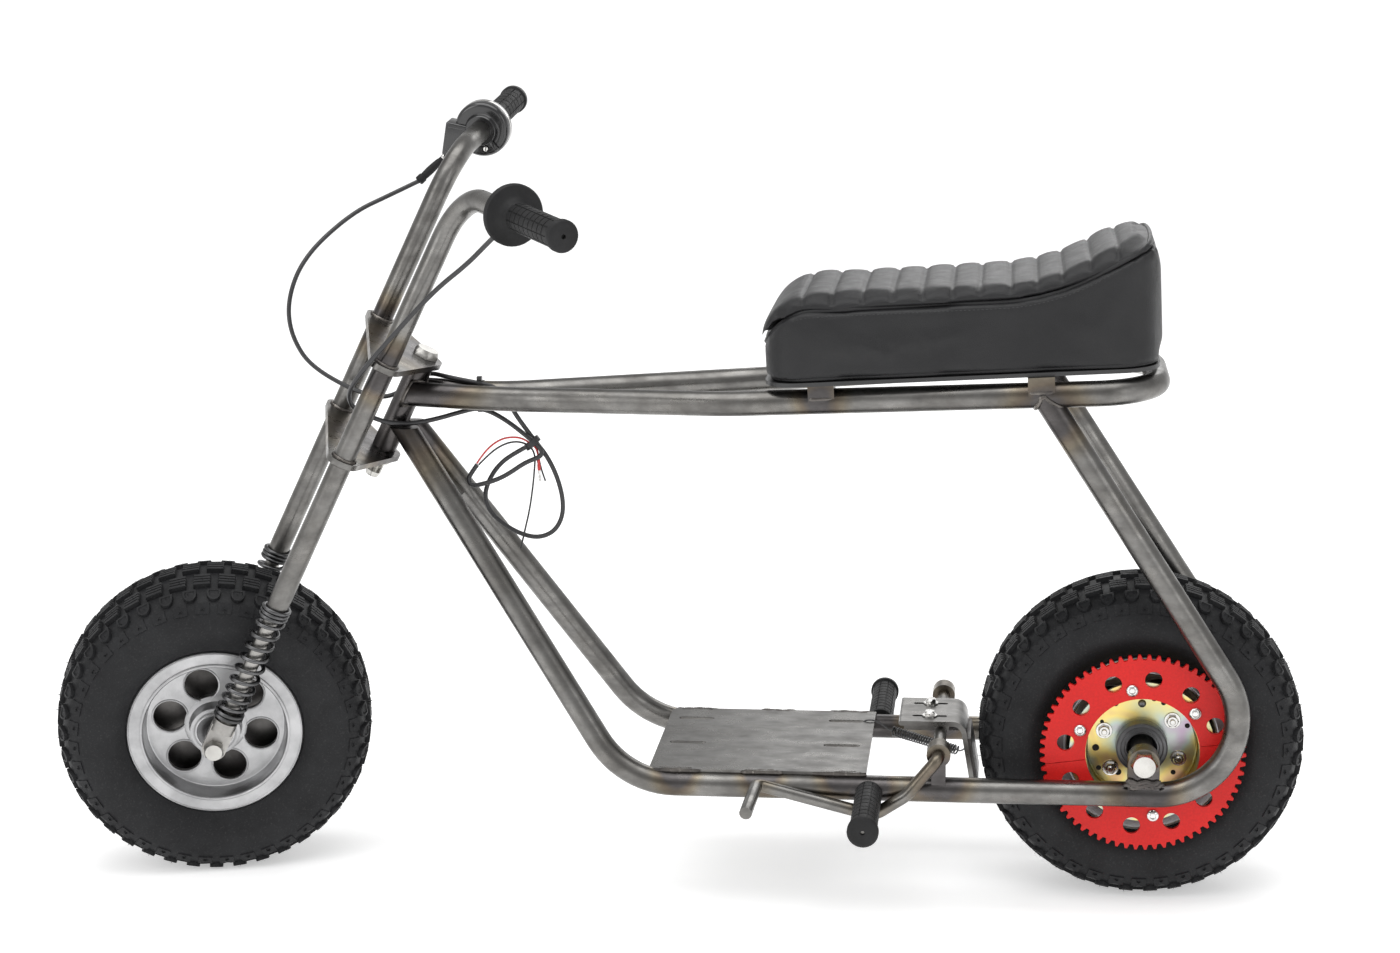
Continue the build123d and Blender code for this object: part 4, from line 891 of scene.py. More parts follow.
def tyre_shape(seed):
    """A whole tyre in millimetres: carcass, three rows of lugs on each side, and hairs."""
    rng = random.Random(seed)
    shape = Shape()
    profile = []
    for t in np.linspace(carcass_lengths[-1], 0, 30):
        (y, r), _ = carcass_at(t, 1)
        profile.append((y, r))
    profile += [(-y, r) for y, r in reversed(profile[:-1])]
    profile += [(-38.0, 80.0), (0.0, 120.0), (38.0, 80.0)]
    shape.add(*revolved(profile, 160))
    hairs = Shape()
    pitch = 2 * math.pi / lug_count
    for side in (-1, 1):
        for k in range(lug_count):
            even = (k + (0.5 if side > 0 else 0.0)) * pitch
            odd = even + pitch / 2
            ridged_block(shape, 7.0, 31.0, 17.5, 5.0, 3, side, even)
            rounded = [(-7.2, 38.5), (7.2, 38.5), (7.6, 44.5), (6.6, 49.0), (3.6, 52.0), (0, 52.8), (-3.6, 52.0),
                       (-6.6, 49.0), (-7.6, 44.5)]
            lug(shape, rounded, [(0.0, -1.0), (0.06, 4.2), (0.34, 4.4), (0.40, 3.2)], side, odd)
            house = [(-8.4, 54.0), (-3.0, 54.0), (0, 56.6), (3.0, 54.0), (8.4, 54.0), (8.4, 66.0), (-8.4, 66.0)]
            lug(shape, house, [(0.0, -0.8), (0.05, 1.3)], side, even)
            mark = [(-2.4, 61.4), (0, 59.4), (2.4, 61.4), (2.0, 62.2), (0, 60.5), (-2.0, 62.2)]
            lug(shape, mark, [(0.0, 0.8), (0.05, 1.9)], side, even)
            for s, t, h, angle in ((0, 19, 5.0, even), (0, 45, 3.2, odd), (0, 64, 1.3, even)):
                if rng.random() < 0.86:
                    lean = (rng.uniform(-1.2, 1.2), rng.uniform(-0.8, 1.4))
                    whisker(hairs, s + rng.uniform(-3, 3), t + rng.uniform(-3, 3), h, side, angle, lean, rng)
            if rng.random() < 0.7:
                whisker(hairs, 8.0, 12.0, 5.0, side, even, (0.8, 0.4), rng)
    return shape, hairs


def make_tyres():
    for end, place, body, seed in (("front", front_mm, "front_wheel", 5), ("rear", rear_mm, "rear_wheel", 9)):
        shape, hairs = tyre_shape(seed)
        tread = shape.piece(f"{end}_tread_tyre", tyre_black, body, slot="tyre_rubber", place=place, sharp_deg=35)
        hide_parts(f"{end}_tyre")
        hairs.piece(f"{end}_tyre_hairs", tyre_black, body, slot="tyre_rubber", place=place)


# Fork springs.
def spring_points(low, high, radius):
    """A helix whose turns are close at both ends and a little closer in its lower half."""
    runs = [(2.2, 4.7), (3.0, 11.0), (6.0, 14.2), (3.0, 4.7)]
    scale = (high - low) / sum(turns * pitch for turns, pitch in runs)
    points = []
    wound, height = 0.0, low
    step = 1 / 20
    for turns, pitch in runs:
        for _ in range(round(turns / step)):
            turn = 2 * math.pi * wound
            points.append((radius * math.cos(turn), radius * math.sin(turn), height))
            wound += step
            height += pitch * scale * step
    return points


def make_springs():
    wire, outside, foot, head = 4.4, 31.5, 33.5, 173
    for side, name in ((-1, "left"), (1, "right")):
        place = at_mm(on_fork(-fork_offset / MM, side * fork_half_width, 0), steer_up, fork_back)
        shape = Shape()
        path = spring_points(foot + wire / 2, head - wire / 2, (outside - wire) / 2)
        shape.add(*swept(path, wire / 2, 10))
        coil = shape.piece(f"{name}_spring_coil", spring_steel, "steering", slot="dark_steel", place=place)
        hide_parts(f"{name}_fork_spring")


# Seat. Its own frame is in millimetres: along it from the nose, across it, and up from the top of its pan.
rail_slope = (rail_end_height - rail_bend_height) / rail_run
seat_along = Vector((1, 0, rail_slope)).normalized()
seat_up = Vector((-seat_along.z, 0, seat_along.x))
seat_nose_lead, tab_lift, pan_thick = 380, 7.0, 4.0
seat_foot = rail_end_height - rail_slope * (seat_nose_lead + rail_end_back) + tube_radius + tab_lift
seat_origin = from_axle(-seat_nose_lead, 0, seat_foot) + seat_up * pan_thick * MM
seat_length = 392.0
seat_half_width = 98.0
seat_corner = 36.0


def in_seat(point):
    """(along, across, up) in millimetres in the seat's frame."""
    offset = (Vector(point) - seat_origin) / MM
    return offset.dot(seat_along), offset.y, offset.dot(seat_up)


def on_seat(along, across, up):
    return seat_origin + (seat_along * along + Vector((0, 1, 0)) * across + seat_up * up) * MM


def piping_height(along):
    """Height of the sewn line that parts the cushion from the seat's side."""
    if along < 52:
        share = max(0.0, min(1.0, (along + 1) / 53))
        return 30 + 39.5 * math.sin(math.acos(1 - share)) ** 1.15
    if along < 238:
        return 69.5
    if along < 330:
        return 69.5 + 216.7 - math.sqrt(216.7 ** 2 - (along - 238) ** 2)
    return 90 + (along - 330) * 29 / 62


def seat_outline(step=5.0):
    """Points (along, across) round the seat's plan, closed."""
    corner = seat_corner
    high, wide = seat_length - corner, seat_half_width - corner
    points = []
    for cx, cy, start in ((high, wide, 0), (corner, wide, 90), (corner, -wide, 180), (high, -wide, 270)):
        for k in range(9):
            turn = math.radians(start + k * 90 / 8)
            points.append((cx + corner * math.cos(turn), cy + corner * math.sin(turn)))
    dense = []
    for (ax, ay), (bx, by) in zip(points, points[1:] + points[:1]):
        count = max(1, int(math.hypot(bx - ax, by - ay) / step))
        dense += [(ax + (bx - ax) * k / count, ay + (by - ay) * k / count) for k in range(count)]
    return dense


def on_cover(trees, along, across, up):
    """The place on the seat's finished cover that lies straight in from a point of its plan."""
    inward = (Vector((max(60.0, min(332.0, along)), 0, 0)) - Vector((along, across, 0))).normalized()
    outside = on_seat(along - inward.x * 25, across - inward.y * 25, up)
    direction = (on_seat(along, across, up) - outside).normalized()
    hits = [tree.ray_cast(outside, direction, 0.08) for tree in trees]
    reached = [(hit[3], hit[0]) for hit in hits if hit[0] is not None]
    return min(reached)[1] if reached else on_seat(along, across, up)


def evened(points, rounds=4):
    """A closed row of points with small steps taken out."""
    for _ in range(rounds):
        points = [(a + b * 2 + c) / 4 for a, b, c in zip(points[-1:] + points[:-1], points, points[1:] + points[:1])]
    return points


def make_piping(covers):
    """The welt between cushion and side, the hem along the foot and the stitching beside the welt."""
    trees = [
        BVHTree.FromPolygons([v.co for v in mesh.vertices], [p.vertices[:] for p in mesh.polygons])
        for mesh in (cover.data for cover in covers)
    ]
    shape = Shape()
    outline = seat_outline()
    closed_tube(shape, evened([on_cover(trees, x, y, piping_height(x)) for x, y in outline]), 2.3 * MM)
    closed_tube(shape, evened([on_cover(trees, x, y, 2.6) for x, y in outline]), 2.0 * MM)
    shape.piece("seat_welt", seat_black, "frame", slot="seat_vinyl")
    stitches = Shape()
    row = evened([on_cover(trees, x, y, piping_height(x) - 5.2) for x, y in seat_outline(2.1)], 8)
    for k in range(0, len(row) - 1, 2):
        stitches.add(*swept([row[k], (row[k] + row[k + 1]) / 2, row[k + 1]], 0.38 * MM, 5))
    stitches.piece("seat_stitching", thread_grey, "frame", slot="seat_vinyl")


def vertex_rows(piece, kind):
    """The places or the normals of a piece's vertices, one row for each."""
    values = np.empty(len(piece.data.vertices) * 3)
    piece.data.vertices.foreach_get(kind, values)
    return values.reshape(-1, 3)


def move_vertices(piece, places):
    piece.data.vertices.foreach_set("co", places.ravel())
    piece.data.update()


def swollen(node, name, inset, voxel, cap, pressure, rounded=0):
    """A padded copy of a soft node, swelled by a cloth simulation with its travel held to a cap."""
    source = frame["nodes"][node]
    mesh = source.data.copy()
    mesh.name = name
    piece = new_object(name, mesh)
    build = bmesh.new()
    build.from_mesh(mesh)
    bmesh.ops.remove_doubles(build, verts=build.verts, dist=0.0001)
    bmesh.ops.recalc_face_normals(build, faces=build.faces)
    build.to_mesh(mesh)
    build.free()
    remesh = piece.modifiers.new("remesh", "REMESH")
    remesh.mode = "VOXEL"
    remesh.voxel_size = voxel
    smooth = piece.modifiers.new("smooth", "SMOOTH")
    smooth.iterations = 3
    smooth.factor = 0.5
    apply_all(piece)
    if rounded:
        round_crown(piece, rounded)
    start = vertex_rows(piece, "co") - vertex_rows(piece, "normal") * inset
    move_vertices(piece, start)
    cloth = piece.modifiers.new("cloth", "CLOTH")
    cloth.settings.use_pressure = True
    cloth.settings.uniform_pressure_force = pressure
    cloth.settings.effector_weights.gravity = 0.0
    cloth.settings.quality = 6
    cloth.point_cache.frame_start = 1
    cloth.point_cache.frame_end = 20
    for number in range(1, 21):
        bpy.context.scene.frame_set(number)
    apply_all(piece)
    bpy.context.scene.frame_set(1)
    travel = vertex_rows(piece, "co") - start
    far = np.linalg.norm(travel, axis=1, keepdims=True)
    travel *= np.minimum(1.0, cap / np.maximum(far, 1e-9))
    move_vertices(piece, start + travel)
    return piece


def round_crown(piece, iterations):
    """Rounds what stands above the piping line, and leaves the edge along it."""
    group = piece.vertex_groups.new(name="crown")
    for vertex in piece.data.vertices:
        along, _, height = in_seat(vertex.co)
        rise = (height - piping_height(along)) / 9.0
        if rise > 0:
            group.add([vertex.index], min(rise, 1.0), "REPLACE")
    smooth = piece.modifiers.new("crown", "SMOOTH")
    smooth.iterations = iterations
    smooth.factor = 0.6
    smooth.vertex_group = "crown"
    apply_all(piece)


def apply_all(piece):
    """Applies a piece's modifiers."""
    bpy.context.view_layer.update()
    graph = bpy.context.evaluated_depsgraph_get()
    mesh = bpy.data.meshes.new_from_object(piece.evaluated_get(graph))
    piece.modifiers.clear()
    old = piece.data
    piece.data = mesh
    bpy.data.meshes.remove(old)


seat_seams = (-339, -310, -280, -251, -222, -193, -166, -137, -111.5, -87, -60, -34)


def sew_channels(piece):
    """Presses the sewn channels into the pad's top."""
    points, normals = vertex_rows(piece, "co"), vertex_rows(piece, "normal")
    back = (points[:, 0] - rear_axle.x) / MM
    depth = np.zeros(len(points))
    for seam in seat_seams:
        away = np.abs(back - seam)
        depth = np.maximum(depth, 2.6 * np.exp(-((away / 1.7) ** 2)) + 1.5 * np.exp(-((away / 6.5) ** 2)))
    upward = np.clip(normals[:, 2] * 1.6 - 0.1, 0, 1)
    points[:, 2] -= depth * upward * MM
    move_vertices(piece, points)


def make_seat():
    covers = []
    forms = (("seat_body", "seat_sides", 0.8, 3.0, 0), ("seat_pad", "seat_cushion", 1.0, 4.5, 30))
    for node, name, inset, cap, rounded in forms:
        piece = swollen(node, name, inset * MM, 0.005, cap * MM, 4.0, rounded)
        piece.data.materials.clear()
        piece.data.materials.append(seat_black)
        divide = piece.modifiers.new("divide", "SUBSURF")
        divide.levels = 1
        divide.render_levels = 1
        apply_all(piece)
        if node == "seat_pad":
            sew_channels(piece)
        piece.data.polygons.foreach_set("use_smooth", [True] * len(piece.data.polygons))
        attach(piece, "frame")
        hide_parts(node)
        covers.append(piece)
    make_piping(covers)


# Grips.
def grip_shape(length, inner, radius, cap_radius, cap_length, sectors, rings, flange=None):
    """A rubber grip with a grid of raised pads, from its inner end to its capped outer end with a small hole."""
    stations = [(0.0, inner, 0)]
    start = 3.0
    if flange:
        wide, thick = flange
        stations += [(0.0, wide - 1.5, 0), (0.8, wide, 0), (thick - 1.5, wide, 0), (thick, wide - 1.2, 0),
                     (thick + 0.3, radius + 9, 0), (thick + 1.2, radius + 5.5, 0), (thick + 3.2, radius + 2.6, 0),
                     (thick + 6.5, radius + 0.8, 0), (thick + 9.0, radius, 0)]
        start = thick + 10.0
    else:
        stations += [(0.0, radius - 0.6, 0), (0.6, radius, 0), (start, radius, 0)]
    end = length - cap_length - 1.5
    pitch = (end - start) / rings
    for k in range(rings):
        at = start + k * pitch
        stations += [(at, radius, 2), (at + 0.5, radius, 2), (at + 0.9, radius, 1), (at + pitch - 0.9, radius, 1),
                     (at + pitch - 0.5, radius, 2)]
    stations += [(end, radius, 0), (length - cap_length, radius, 0), (length - cap_length + 0.8, cap_radius, 0),
                 (length - 2.4, cap_radius, 0), (length - 0.7, cap_radius - 1.4, 0), (length, cap_radius - 4, 0),
                 (length, 2.6, 0), (length - 0.5, 2.1, 0), (length - 4.0, 2.0, 0), (length - 4.0, 0.01, 0)]
    sector = ((0.0, 1), (0.045, 1), (0.085, 0), (0.32, 0), (0.54, 0), (0.76, 0), (0.915, 0), (0.955, 1))
    turns = [((k + share) * 2 * math.pi / sectors, kind) for k in range(sectors) for share, kind in sector]
    verts, faces = [], []
    for along, size, kind in stations:
        for turn, groove in turns:
            sunk = 0.95 if kind == 2 or (kind == 1 and groove) else 0.0
            verts.append(((size - sunk) * math.cos(turn), (size - sunk) * math.sin(turn), along))
    count = len(turns)
    for i in range(len(stations) - 1):
        faces += ring_faces(i * count, (i + 1) * count, count)
    return verts, faces


def make_grips():
    grip_length, peg_end, peg_grip_length, cap = 118, 228, 114, 3
    for side, name in ((-1, "left"), (1, "right")):
        end, outward = bar_line(side)
        place = at_mm(end - outward * grip_on_bar * MM, outward)
        flange = (30.0, 6.0) if side < 0 else None
        shape = Shape()
        shape.add(*grip_shape(grip_length, 11.2, 14.0, 15.5, 8, 10, 9, flange))
        grip = shape.piece(f"{name}_grip_rubber", grip_black, "steering", slot="grip_rubber", place=place)
        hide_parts(f"{name}_grip")
    for side, name in ((-1, "left"), (1, "right")):
        inner = side * (peg_end + cap - peg_grip_length)
        place = at_mm(from_axle(-peg_lead, inner, floor_height), (0, side, 0))
        shape = Shape()
        shape.add(*grip_shape(peg_grip_length, 8.1, 13.5, 15.5, 8, 10, 10))
        grip = shape.piece(f"{name}_peg_rubber", grip_black, "frame", slot="grip_rubber", place=place)
        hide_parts(f"{name}_peg_grip")


def rounded_box(low, high, rounding, segments=3):
    """A box with rounded edges, as (vertices, faces)."""
    build = bmesh.new()
    bmesh.ops.create_cube(build, size=1.0)
    for vertex in build.verts:
        for axis in range(3):
            middle = (low[axis] + high[axis]) / 2
            vertex.co[axis] = middle + vertex.co[axis] * (high[axis] - low[axis])
    bmesh.ops.bevel(build, geom=build.edges[:], offset=rounding, segments=segments, profile=0.5, affect="EDGES")
    build.verts.ensure_lookup_table()
    verts = [v.co.copy() for v in build.verts]
    faces = [tuple(v.index for v in f.verts) for f in build.faces]
    build.free()
    return verts, faces


def make_throttle():
    """The throttle's drum with its rolled rim, the collar round the bar, the cable's block and two clamp screws."""
    place = throttle_place()
    shape = Shape()
    shape.add(*revolved([(-24, 11.2), (-24, 15.8), (-23.4, 16.4), (-21.5, 16.8), (-19.6, 18.2), (-19.2, 21.0),
                         (-19.6, 25.0), (-19.2, 27.2), (-17.6, 29.0), (-15.0, 29.8), (-9.4, 29.8), (-9.0, 28.8),
                         (-6.4, 28.8), (-6.0, 29.7), (-3.6, 29.9), (-1.6, 29.4), (-0.4, 27.6), (0.0, 24.0),
                         (0.0, 11.2)], 64, closed=True, axis="Z"))
    tilt = Matrix.Rotation(throttle_tilt, 4, "Z")
    shape.add(*rounded_box((13.0, -36.0, -23.0), (39.0, 1.5, -1.5), 2.2), place=tilt)
    shape.add(*rounded_box((16.0, -30.0, -24.0), (36.0, -3.0, -21.5), 1.0), place=tilt)
    for turn in (205, 300):
        ridge = Matrix.Rotation(math.radians(turn), 4, "Z")
        shape.add(*rounded_box((15.5, -2.4, -22.4), (27.5, 2.4, -17.5), 1.1), place=ridge)
    drum = shape.piece("throttle_drum", black_gloss, "steering", slot="black_plastic", place=place, sharp_deg=35)
    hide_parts("throttle_housing")
    metal = Shape()
    metal.add(*revolved([(-9.2, 28.6), (-9.2, 30.0), (-6.2, 30.0), (-6.2, 28.6)], 72, closed=True, axis="Z"))
    for turn in (232, 330):
        over = Matrix.Translation((20.5, 0, -21.0)) @ Matrix.Rotation(math.pi, 4, "X")
        screw = Matrix.Rotation(math.radians(turn), 4, "Z") @ over
        profile = [(0.0, 2.7), (1.2, 2.6), (1.8, 1.9), (1.9, 0.9), (1.0, 0.8), (1.0, 0.01)]
        metal.add(*turned(profile, 16), place=screw)
    metal.piece("throttle_trim", chrome, "steering", slot="zinc_hardware", place=place)


# Wheels.
def make_rims():
    """Turned rings, hole lips, hub bosses, a dark disc that closes the middle and paints the shade seen through the
    holes, and a valve on each rim.
    """
    outer = [(46.6, 75.1), (46.6, 77.8), (47.3, 78.3), (48.6, 78.3), (49.2, 77.4), (49.2, 76.0), (48.4, 75.1),
             (45.0, 74.6), (30.0, 73.6), (27.0, 72.0), (26.6, 70.0), (26.6, 75.1)]
    lip = [(46.6, 88.6), (46.6, 89.4), (47.4, 89.9), (47.8, 90.8), (47.2, 91.7), (46.0, 92.2), (44.5, 92.2),
           (44.5, 88.6)]
    boss = [(26.5, 33.0), (27.6, 31.5), (28.6, 28.0), (33.0, 26.6), (44.4, 26.3), (45.2, 25.4), (45.6, 24.4),
            (45.6, 22.6), (45.0, 21.2), (44.0, 20.4), (26.5, 20.4)]
    seal = [(45.2, 19.4), (45.8, 18.8), (45.8, 13.2), (45.2, 12.4), (45.0, 9.2), (44.0, 9.2), (44.0, 19.4)]
    hole_circle, valve_turn = 48.5, 2.4
    for end, place, body in (("front", front_mm, "front_wheel"), ("rear", rear_mm, "rear_wheel")):
        shape = Shape()
        for side in (-1, 1):
            for profile, segments in ((outer, 96), (lip, 96), (boss, 64)):
                shape.add(*revolved([(side * y, r) for y, r in profile], segments))
            for k in range(6):
                turn = math.radians(10 + 60 * k)
                centre = Vector((hole_circle * math.cos(turn), side * 26.9, hole_circle * math.sin(turn)))
                flat_ring(shape, centre, 18.6, 0.9)
        shape.piece(f"{end}_rim_turnings", aluminium, body, slot="cast_aluminium", place=place)
        # A dark disc across the rim's middle plane: painted shade seen through the rim's holes.
        middle = Shape()
        middle.add(*revolved([(-0.8, 26.2), (-0.8, 74.8), (0.8, 74.8), (0.8, 26.2)], 64))
        middle.piece(f"{end}_rim_painted_shade_disc", dark_steel, body, slot="cast_aluminium", place=place)
        seals = Shape()
        for side in (-1, 1):
            seals.add(*revolved([(side * y, r) for y, r in seal], 48))
        seals.piece(f"{end}_hub_seals", hub_steel, body, slot="bearing_steel", place=place)
        valve = Shape()
        valve.add(*turned([(0, 0.01), (0, 7.5), (2, 6.5), (3, 4.4), (14, 3.9), (26, 3.2), (27, 2.6), (33, 2.6),
                           (33.4, 2.0), (33.4, 0.01)], 16))
        foot = Vector((72 * math.cos(valve_turn), 30.0, 72 * math.sin(valve_turn)))
        inward = Vector((-math.cos(valve_turn), 0.55, -math.sin(valve_turn)))
        valve.piece(f"{end}_valve", grip_black, body, slot="tyre_rubber", place=place @ facing_matrix(foot, inward))


def side_spot(radius, degrees, out):
    """A place on the rear wheel's left side, its z axis outward: radius and angle, and its distance out."""
    turn = math.radians(degrees)
    centre = Vector((radius * math.cos(turn), -out, radius * math.sin(turn)))
    return rear_mm @ facing_matrix(centre, (0, -1, 0))


def make_hub():
    """Bolts, washers and the rivet of the sprocket and its carrier, near-black discs that paint the shade inside the
    carrier's holes, and the bearing housing's turned rings.
    """
    carrier_face = 46.0
    bright = Shape()
    for k in range(6):
        spot = side_spot(66.675, 40 + 60 * k, 76.0)
        bright.add(*turned([(0.0, 6.4), (0.6, 6.5), (1.6, 6.2), (2.6, 5.2), (3.3, 4.0), (3.5, 3.1)], 28), place=spot)
        bright.add(*turned([(3.5, 3.1), (1.4, 3.0), (1.3, 0.01)], 6), place=spot)
    bolts = bright.piece("sprocket_screws", chrome, "rear_wheel", slot="zinc_hardware", sharp_deg=30)
    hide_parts("sprocket_bolts")
    heads = Shape()
    washer = [(0.0, 3.4), (0.0, 8.2), (0.3, 8.4), (1.2, 8.4), (1.5, 8.1), (1.5, 3.4)]
    for degrees in (40, 160, 220, -20):
        spot = side_spot(40, degrees, carrier_face)
        heads.add(*revolved(washer, 28, axis="Z"), place=spot)
        turn = Matrix.Rotation(math.radians(degrees * 2.3), 4, "Z")
        heads.add(*hex_head(11.0, 4.4), place=spot @ Matrix.Translation((0, 0, 1.3)) @ turn)
        heads.add(*turned([(5.6, 2.9), (7.4, 2.9), (7.9, 2.4), (7.9, 0.01)], 16), place=spot)
        heads.add(*turned([(0.0, 3.1), (-18.0, 3.1)], 12), place=spot)
    bolts = heads.piece("carrier_heads", chrome, "rear_wheel", slot="zinc_hardware", sharp_deg=30)
    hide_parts("carrier_bolts")
    # Near-black discs set into the carrier's face at its holes: painted shade standing in for the dark inside each
    # hole.
    hole_shade_discs = Shape()
    for degrees, radius, size in ((76, 50, 3.0), (64, 49, 2.6), (122, 50, 3.0), (150, 46, 2.0), (186, 46, 3.6),
                                  (212, 50, 2.6), (233, 38, 3.6), (252, 50, 3.0), (292, 50, 3.2), (306, 52, 2.8),
                                  (318, 44, 2.6), (24, 50, 2.6)):
        spot = side_spot(radius, degrees, carrier_face + 0.25)
        hole_shade_discs.add(*turned([(0.0, size), (-0.15, size - 0.35), (-0.15, 0.01)], 20), place=spot)
    hole_shade_discs.piece("carrier_hole_painted_shade", painted_hole_shade, "rear_wheel", slot="dark_steel")
    rivet = Shape()
    dome = [(0.0, 4.2), (1.0, 4.0), (2.0, 3.0), (2.6, 1.4), (2.7, 0.01)]
    rivet.add(*turned(dome, 24), place=side_spot(43, 90, carrier_face))
    for out, radius in ((60.2, 25.2), (60.6, 21.4), (60.2, 17.6)):
        flat_ring(rivet, rear_mm @ Vector((0, -out, 0)), radius * MM, 0.55 * MM, 64)
    rivet.piece("hub_rings", hub_steel, "rear_wheel", slot="bearing_steel")
    edge = Shape()
    flat_ring(edge, rear_mm @ Vector((0, -46.4, 0)), 55.2 * MM, 1.3 * MM, 96)
    edge.piece("carrier_fold", gold, "rear_wheel", slot="gold_zinc")


# Weld beads.
def meeting_line(start, direction, radius, other, other_along, other_radius, count=56):
    """Points round a tube where its wall meets another tube's wall, in millimetres from the rear axle."""
    start, other = Vector(start), Vector(other)
    direction, other_along = Vector(direction).normalized(), Vector(other_along).normalized()
    side = direction.orthogonal().normalized()
    up = direction.cross(side)
    points = []
    for k in range(count):
        turn = 2 * math.pi * k / count
        point = start + (side * math.cos(turn) + up * math.sin(turn)) * radius
        offset = point - other
        a = direction - other_along * direction.dot(other_along)
        b = offset - other_along * offset.dot(other_along)
        aa, bb, cc = a.dot(a), 2 * a.dot(b), b.dot(b) - other_radius ** 2
        inside = bb * bb - 4 * aa * cc
        reach = (-bb - math.sqrt(inside)) / (2 * aa) if inside > 0 else -bb / (2 * aa)
        points.append(point + direction * reach)
    return points


def bead(shape, points, size, rng, closed=True):
    """A weld bead along points in millimetres: overlapping ripples of uneven width."""
    dense = []
    for a, b in zip(points, points[1:] + (points[:1] if closed else [])):
        count = max(1, int((b - a).length / 0.9))
        dense += [a.lerp(b, k / count) for k in range(count)]
    if not closed:
        dense.append(points[-1])
    travelled = [0.0]
    for a, b in zip(dense, dense[1:]):
        travelled.append(travelled[-1] + (b - a).length)
    total = max(travelled[-1], 1e-6)
    ripple = 2 * math.pi * round(total / 2.6) / total
    drift = [rng.uniform(0, 6.28) for _ in range(3)]

    def size_at(i):
        at = travelled[min(i, len(travelled) - 1)]
        wave = 0.16 * abs(math.sin(at * ripple / 2))
        wave += 0.10 * math.sin(at * 0.19 + drift[0]) + 0.06 * math.sin(at * 0.53 + drift[1])
        return size * (0.88 + wave) * MM

    world = [from_axle(*p) for p in dense]
    if closed:
        closed_tube(shape, world, size_at, 8)
    else:
        last = len(world) - 1

        def tapered(share):
            return size_at(round(share * last)) * min(1.0, 0.35 + 6 * min(share, 1 - share))

        shape.add(*swept(world, tapered, 8))


def to_axle(point):
    """A point in millimetres from the rear axle."""
    return (Vector(point) - rear_axle) / MM


def rail_at(lead, side):
    """A top rail's middle at a lead, as (across, height) in millimetres."""
    share = (rail_bend_lead - lead) / rail_run
    across = side * (rail_bend_across + (rail_end_across - rail_bend_across) * share)
    return across, rail_bend_height + (rail_end_height - rail_bend_height) * share


def make_welds():
    rng = random.Random(21)
    head = to_axle(on_fork(0, 0, 397))
    upright_lead, peg_radius, tube = 103, 8.0, tube_radius
    rail_span = (rail_end_across - rail_bend_across, rail_end_height - rail_bend_height)
    shape = Shape()

    def short_bead(points, size):
        bead(shape, [Vector(p) for p in points], size, rng, closed=False)

    for side in (-1, 1):
        floor = side * floor_half_width
        rail_a, rail_b = (Vector((x, side * head_half_pitch, z)) for x, z in ((-663, 345.7), (-751, 350.5)))
        bead(shape, meeting_line(rail_a, rail_b - rail_a, tube, head, steer_up, tube), 2.3, rng)
        down_a, down_b = Vector((-523, floor, floor_height)), Vector((-765.9, side * head_half_pitch, 328))
        line = [p for p in meeting_line(down_a, down_b - down_a, tube, head, steer_up, tube) if p.z < 319]
        line.sort(key=lambda p: math.atan2(p.y - side * head_half_pitch, p.x + 760))
        short_bead(line, 2.3)
        rail_y, rail_z = rail_at(upright_lead, side)
        upright = Vector((-upright_lead, side * 88, rail_z))
        foot = Vector((-60, side * 91, 262))
        rail, rail_line = (-upright_lead, rail_y, rail_z), (rail_run, side * rail_span[0], rail_span[1])
        bead(shape, meeting_line(foot, upright - foot, tube, rail, rail_line, tube), 2.4, rng)
        peg, peg_foot = (-peg_lead, side * 150, floor_height), (-peg_lead, floor, floor_height)
        bead(shape, meeting_line(peg, (0, -side, 0), peg_radius, peg_foot, (1, 0, 0), tube), 2.2, rng)
        for low, high in ((-496, -445), (-404, -361), (-331, -276)):
            short_bead([(x, side * 101, -21.2) for x in np.linspace(low, high, 12)], 2.8)
            short_bead([(x, side * 97, -21.0) for x in np.linspace(low + 5, high - 6, 10)], 2.2)
        for lead in seat_tab_leads:
            y, z = rail_at(lead, side)
            short_bead([(d - lead, y + side * 12, z + 4.5 + 0.05 * d) for d in np.linspace(-12, 12, 8)], 2.0)
        for row, (out, rise) in enumerate(((14.0, -27.0), (15.2, -24.0), (12.8, -29.0))):
            short_bead([(d, side * (100 + out * 0.72), rise + 5.5 + 1.2 * math.sin(d * 0.4 + row))
                        for d in np.linspace(-20 + 2 * row, 20 - 3 * row, 12)], 3.0)
    shape.piece("weld_beads", weld_steel, "frame", slot="steel_tube")
    fork = Shape()
    ring = 11.6
    for side in (-1, 1):
        for rise in (454.6, 447.4, 346.6, 339.4):
            points = []
            for k in range(40):
                turn = 2 * math.pi * k / 40
                back = ring * math.cos(turn) - fork_offset / MM
                across = side * fork_half_width + ring * math.sin(turn)
                points.append(to_axle(on_fork(back, across, rise)))
            bead(fork, points, 1.7, rng)
    fork.piece("fork_weld_beads", weld_steel, "steering", slot="steel_tube")


def softened(points, rounds=3):
    """A path whose corners are cut off and rounded."""
    path = [Vector(p) for p in points]
    for _ in range(rounds):
        cut = [path[0]]
        for a, b in zip(path, path[1:]):
            cut += [a.lerp(b, 0.25), a.lerp(b, 0.75)]
        path = cut + [path[-1]]
    return path


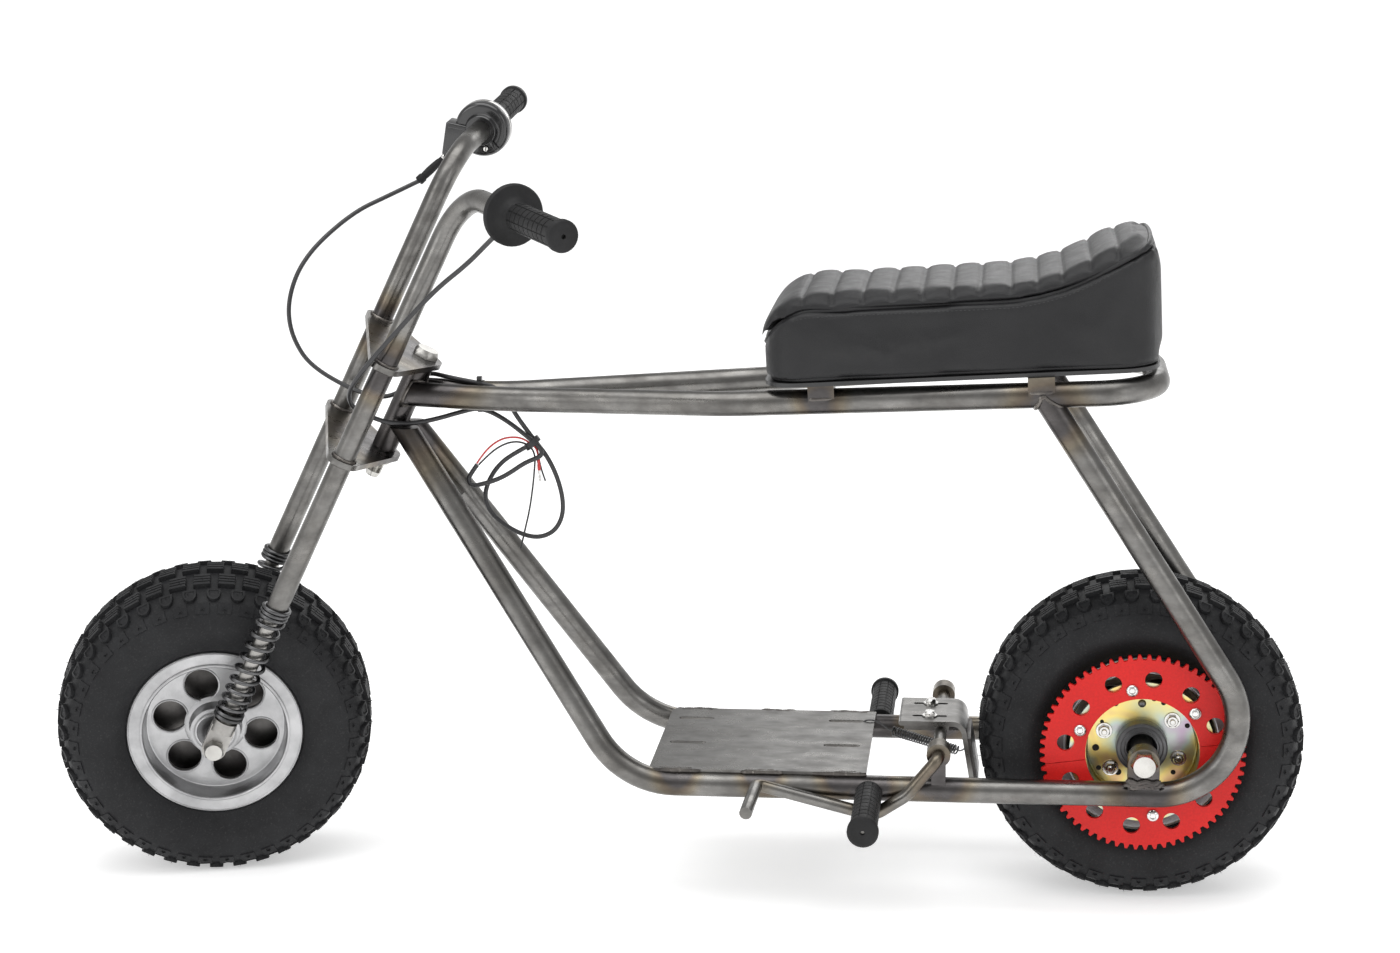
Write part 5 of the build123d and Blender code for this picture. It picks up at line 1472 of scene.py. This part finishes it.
def make_brake_spring():
    """The brake's return spring: a close coil between its two hooks."""
    start, end = Vector((-256.5, 62.75, -28.1)), Vector((-188.0, 34.0, -38.0))
    along = (end - start).normalized()
    side = along.orthogonal().normalized()
    up = along.cross(side)
    wire, radius, turns, steps = 0.9, 4.6, 26, 14
    coil = []
    for k in range(turns * steps + 1):
        turn = 2 * math.pi * k / steps
        coil.append(start.lerp(end, k / (turns * steps)) + (side * math.cos(turn) + up * math.sin(turn)) * radius)
    hook = [(-288.6, 65.75, -27.3), (-288.6, 65.75, -17.4), (-274.5, 65.75, -17.1), start - along * 5, start]
    tail = softened([end, end + along * 5, (-174.0, 32.0, -31.0)])
    shape = Shape()
    for path in (coil, softened(hook) + [coil[0]], [coil[-1]] + tail):
        shape.add(*swept([from_axle(*p) for p in path], wire * MM, 8))
    spring = shape.piece("brake_spring_coil", spring_steel, "frame", slot="dark_steel")
    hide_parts("brake_spring")


bolt_chamfer = 0.26


def through_bolt(reach, radius, across, height):
    """A bolt through both sides with a hexagon at each end, along the y axis, with turned-off corners."""
    shape = Shape()
    washer = [(0.0, across * 0.3), (0.0, across * 0.5), (0.6, across * 0.5), (0.6, across * 0.3)]
    shape.add(*revolved([(-reach, 0.01), (-reach, radius), (reach, radius), (reach, 0.01)], 32, closed=False))
    for side in (-1, 1):
        spot = facing_matrix((0, side * reach, 0), (0, side, 0))
        shape.add(*revolved(washer, 32, axis="Z"), place=spot)
        turn = Matrix.Translation((0, 0, 0.4)) @ Matrix.Rotation(math.radians(30), 4, "Z")
        shape.add(*hex_head(across, height, bolt_chamfer), place=spot @ turn)
    return shape


def make_fasteners():
    """Axle bolts and nuts, the stem's bolt and nut, and the two small bolts of the brake."""
    bolt = through_bolt(110, 7.95, 23.8, 9.6).piece(
        "rear_axle_bolt", zinc, "frame", slot="zinc_hardware", place=rear_mm, sharp_deg=28)
    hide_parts("rear_axle")
    bolt = through_bolt(88, 6.35, 19.0, 8.6).piece(
        "front_axle_bolt", zinc, "steering", slot="zinc_hardware", place=front_mm, sharp_deg=28)
    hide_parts("front_axle")
    top = at_mm(on_fork(0, 0, 454), steer_up, fork_back)
    stem = Shape()
    stem.add(*turned([(0.0, 7.95), (-118.0, 7.95)], 32))
    threads = [(-118.0, 7.95)]
    for k in range(12):
        threads += [(-118.8 - 1.35 * k, 7.3), (-119.45 - 1.35 * k, 7.95)]
    threads += [(-139.0, 7.0), (-140.0, 6.4), (-140.0, 0.01)]
    stem.add(*turned(threads, 32))
    stem.add(*hex_head(24.0, 8.6, bolt_chamfer), place=Matrix.Translation((0, 0, 0.3)))
    bolt = stem.piece("stem_bolt_head", zinc, "steering", slot="zinc_hardware", place=top, sharp_deg=28)
    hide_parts("stem_bolt")
    nut = Shape()
    nut.add(*hex_head(24.0, 8.8, bolt_chamfer))
    low = at_mm(on_fork(0, 0, 340), -steer_up, fork_back)
    piece = nut.piece("stem_nut_hex", zinc, "steering", slot="zinc_hardware", place=low, sharp_deg=28)
    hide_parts("stem_nut")
    small = Shape()
    for across in (-21, 21):
        spot = at_mm(from_axle(-215, across, 17), (0, 0, 1))
        small.add(*turned([(0.0, 0.01), (0.0, 8.0), (1.2, 8.0), (1.5, 7.6), (1.5, 0.01)], 24), place=spot)
        small.add(*hex_head(10.0, 4.2, 0.2), place=spot @ Matrix.Translation((0, 0, 1.4)))
    small.piece("brake_bolts", chrome, "frame", slot="zinc_hardware", sharp_deg=28)


dress_nodes()
make_cords()
make_tyres()
make_springs()
make_seat()
make_grips()
make_throttle()
make_rims()
make_hub()
make_welds()
make_brake_spring()
make_fasteners()
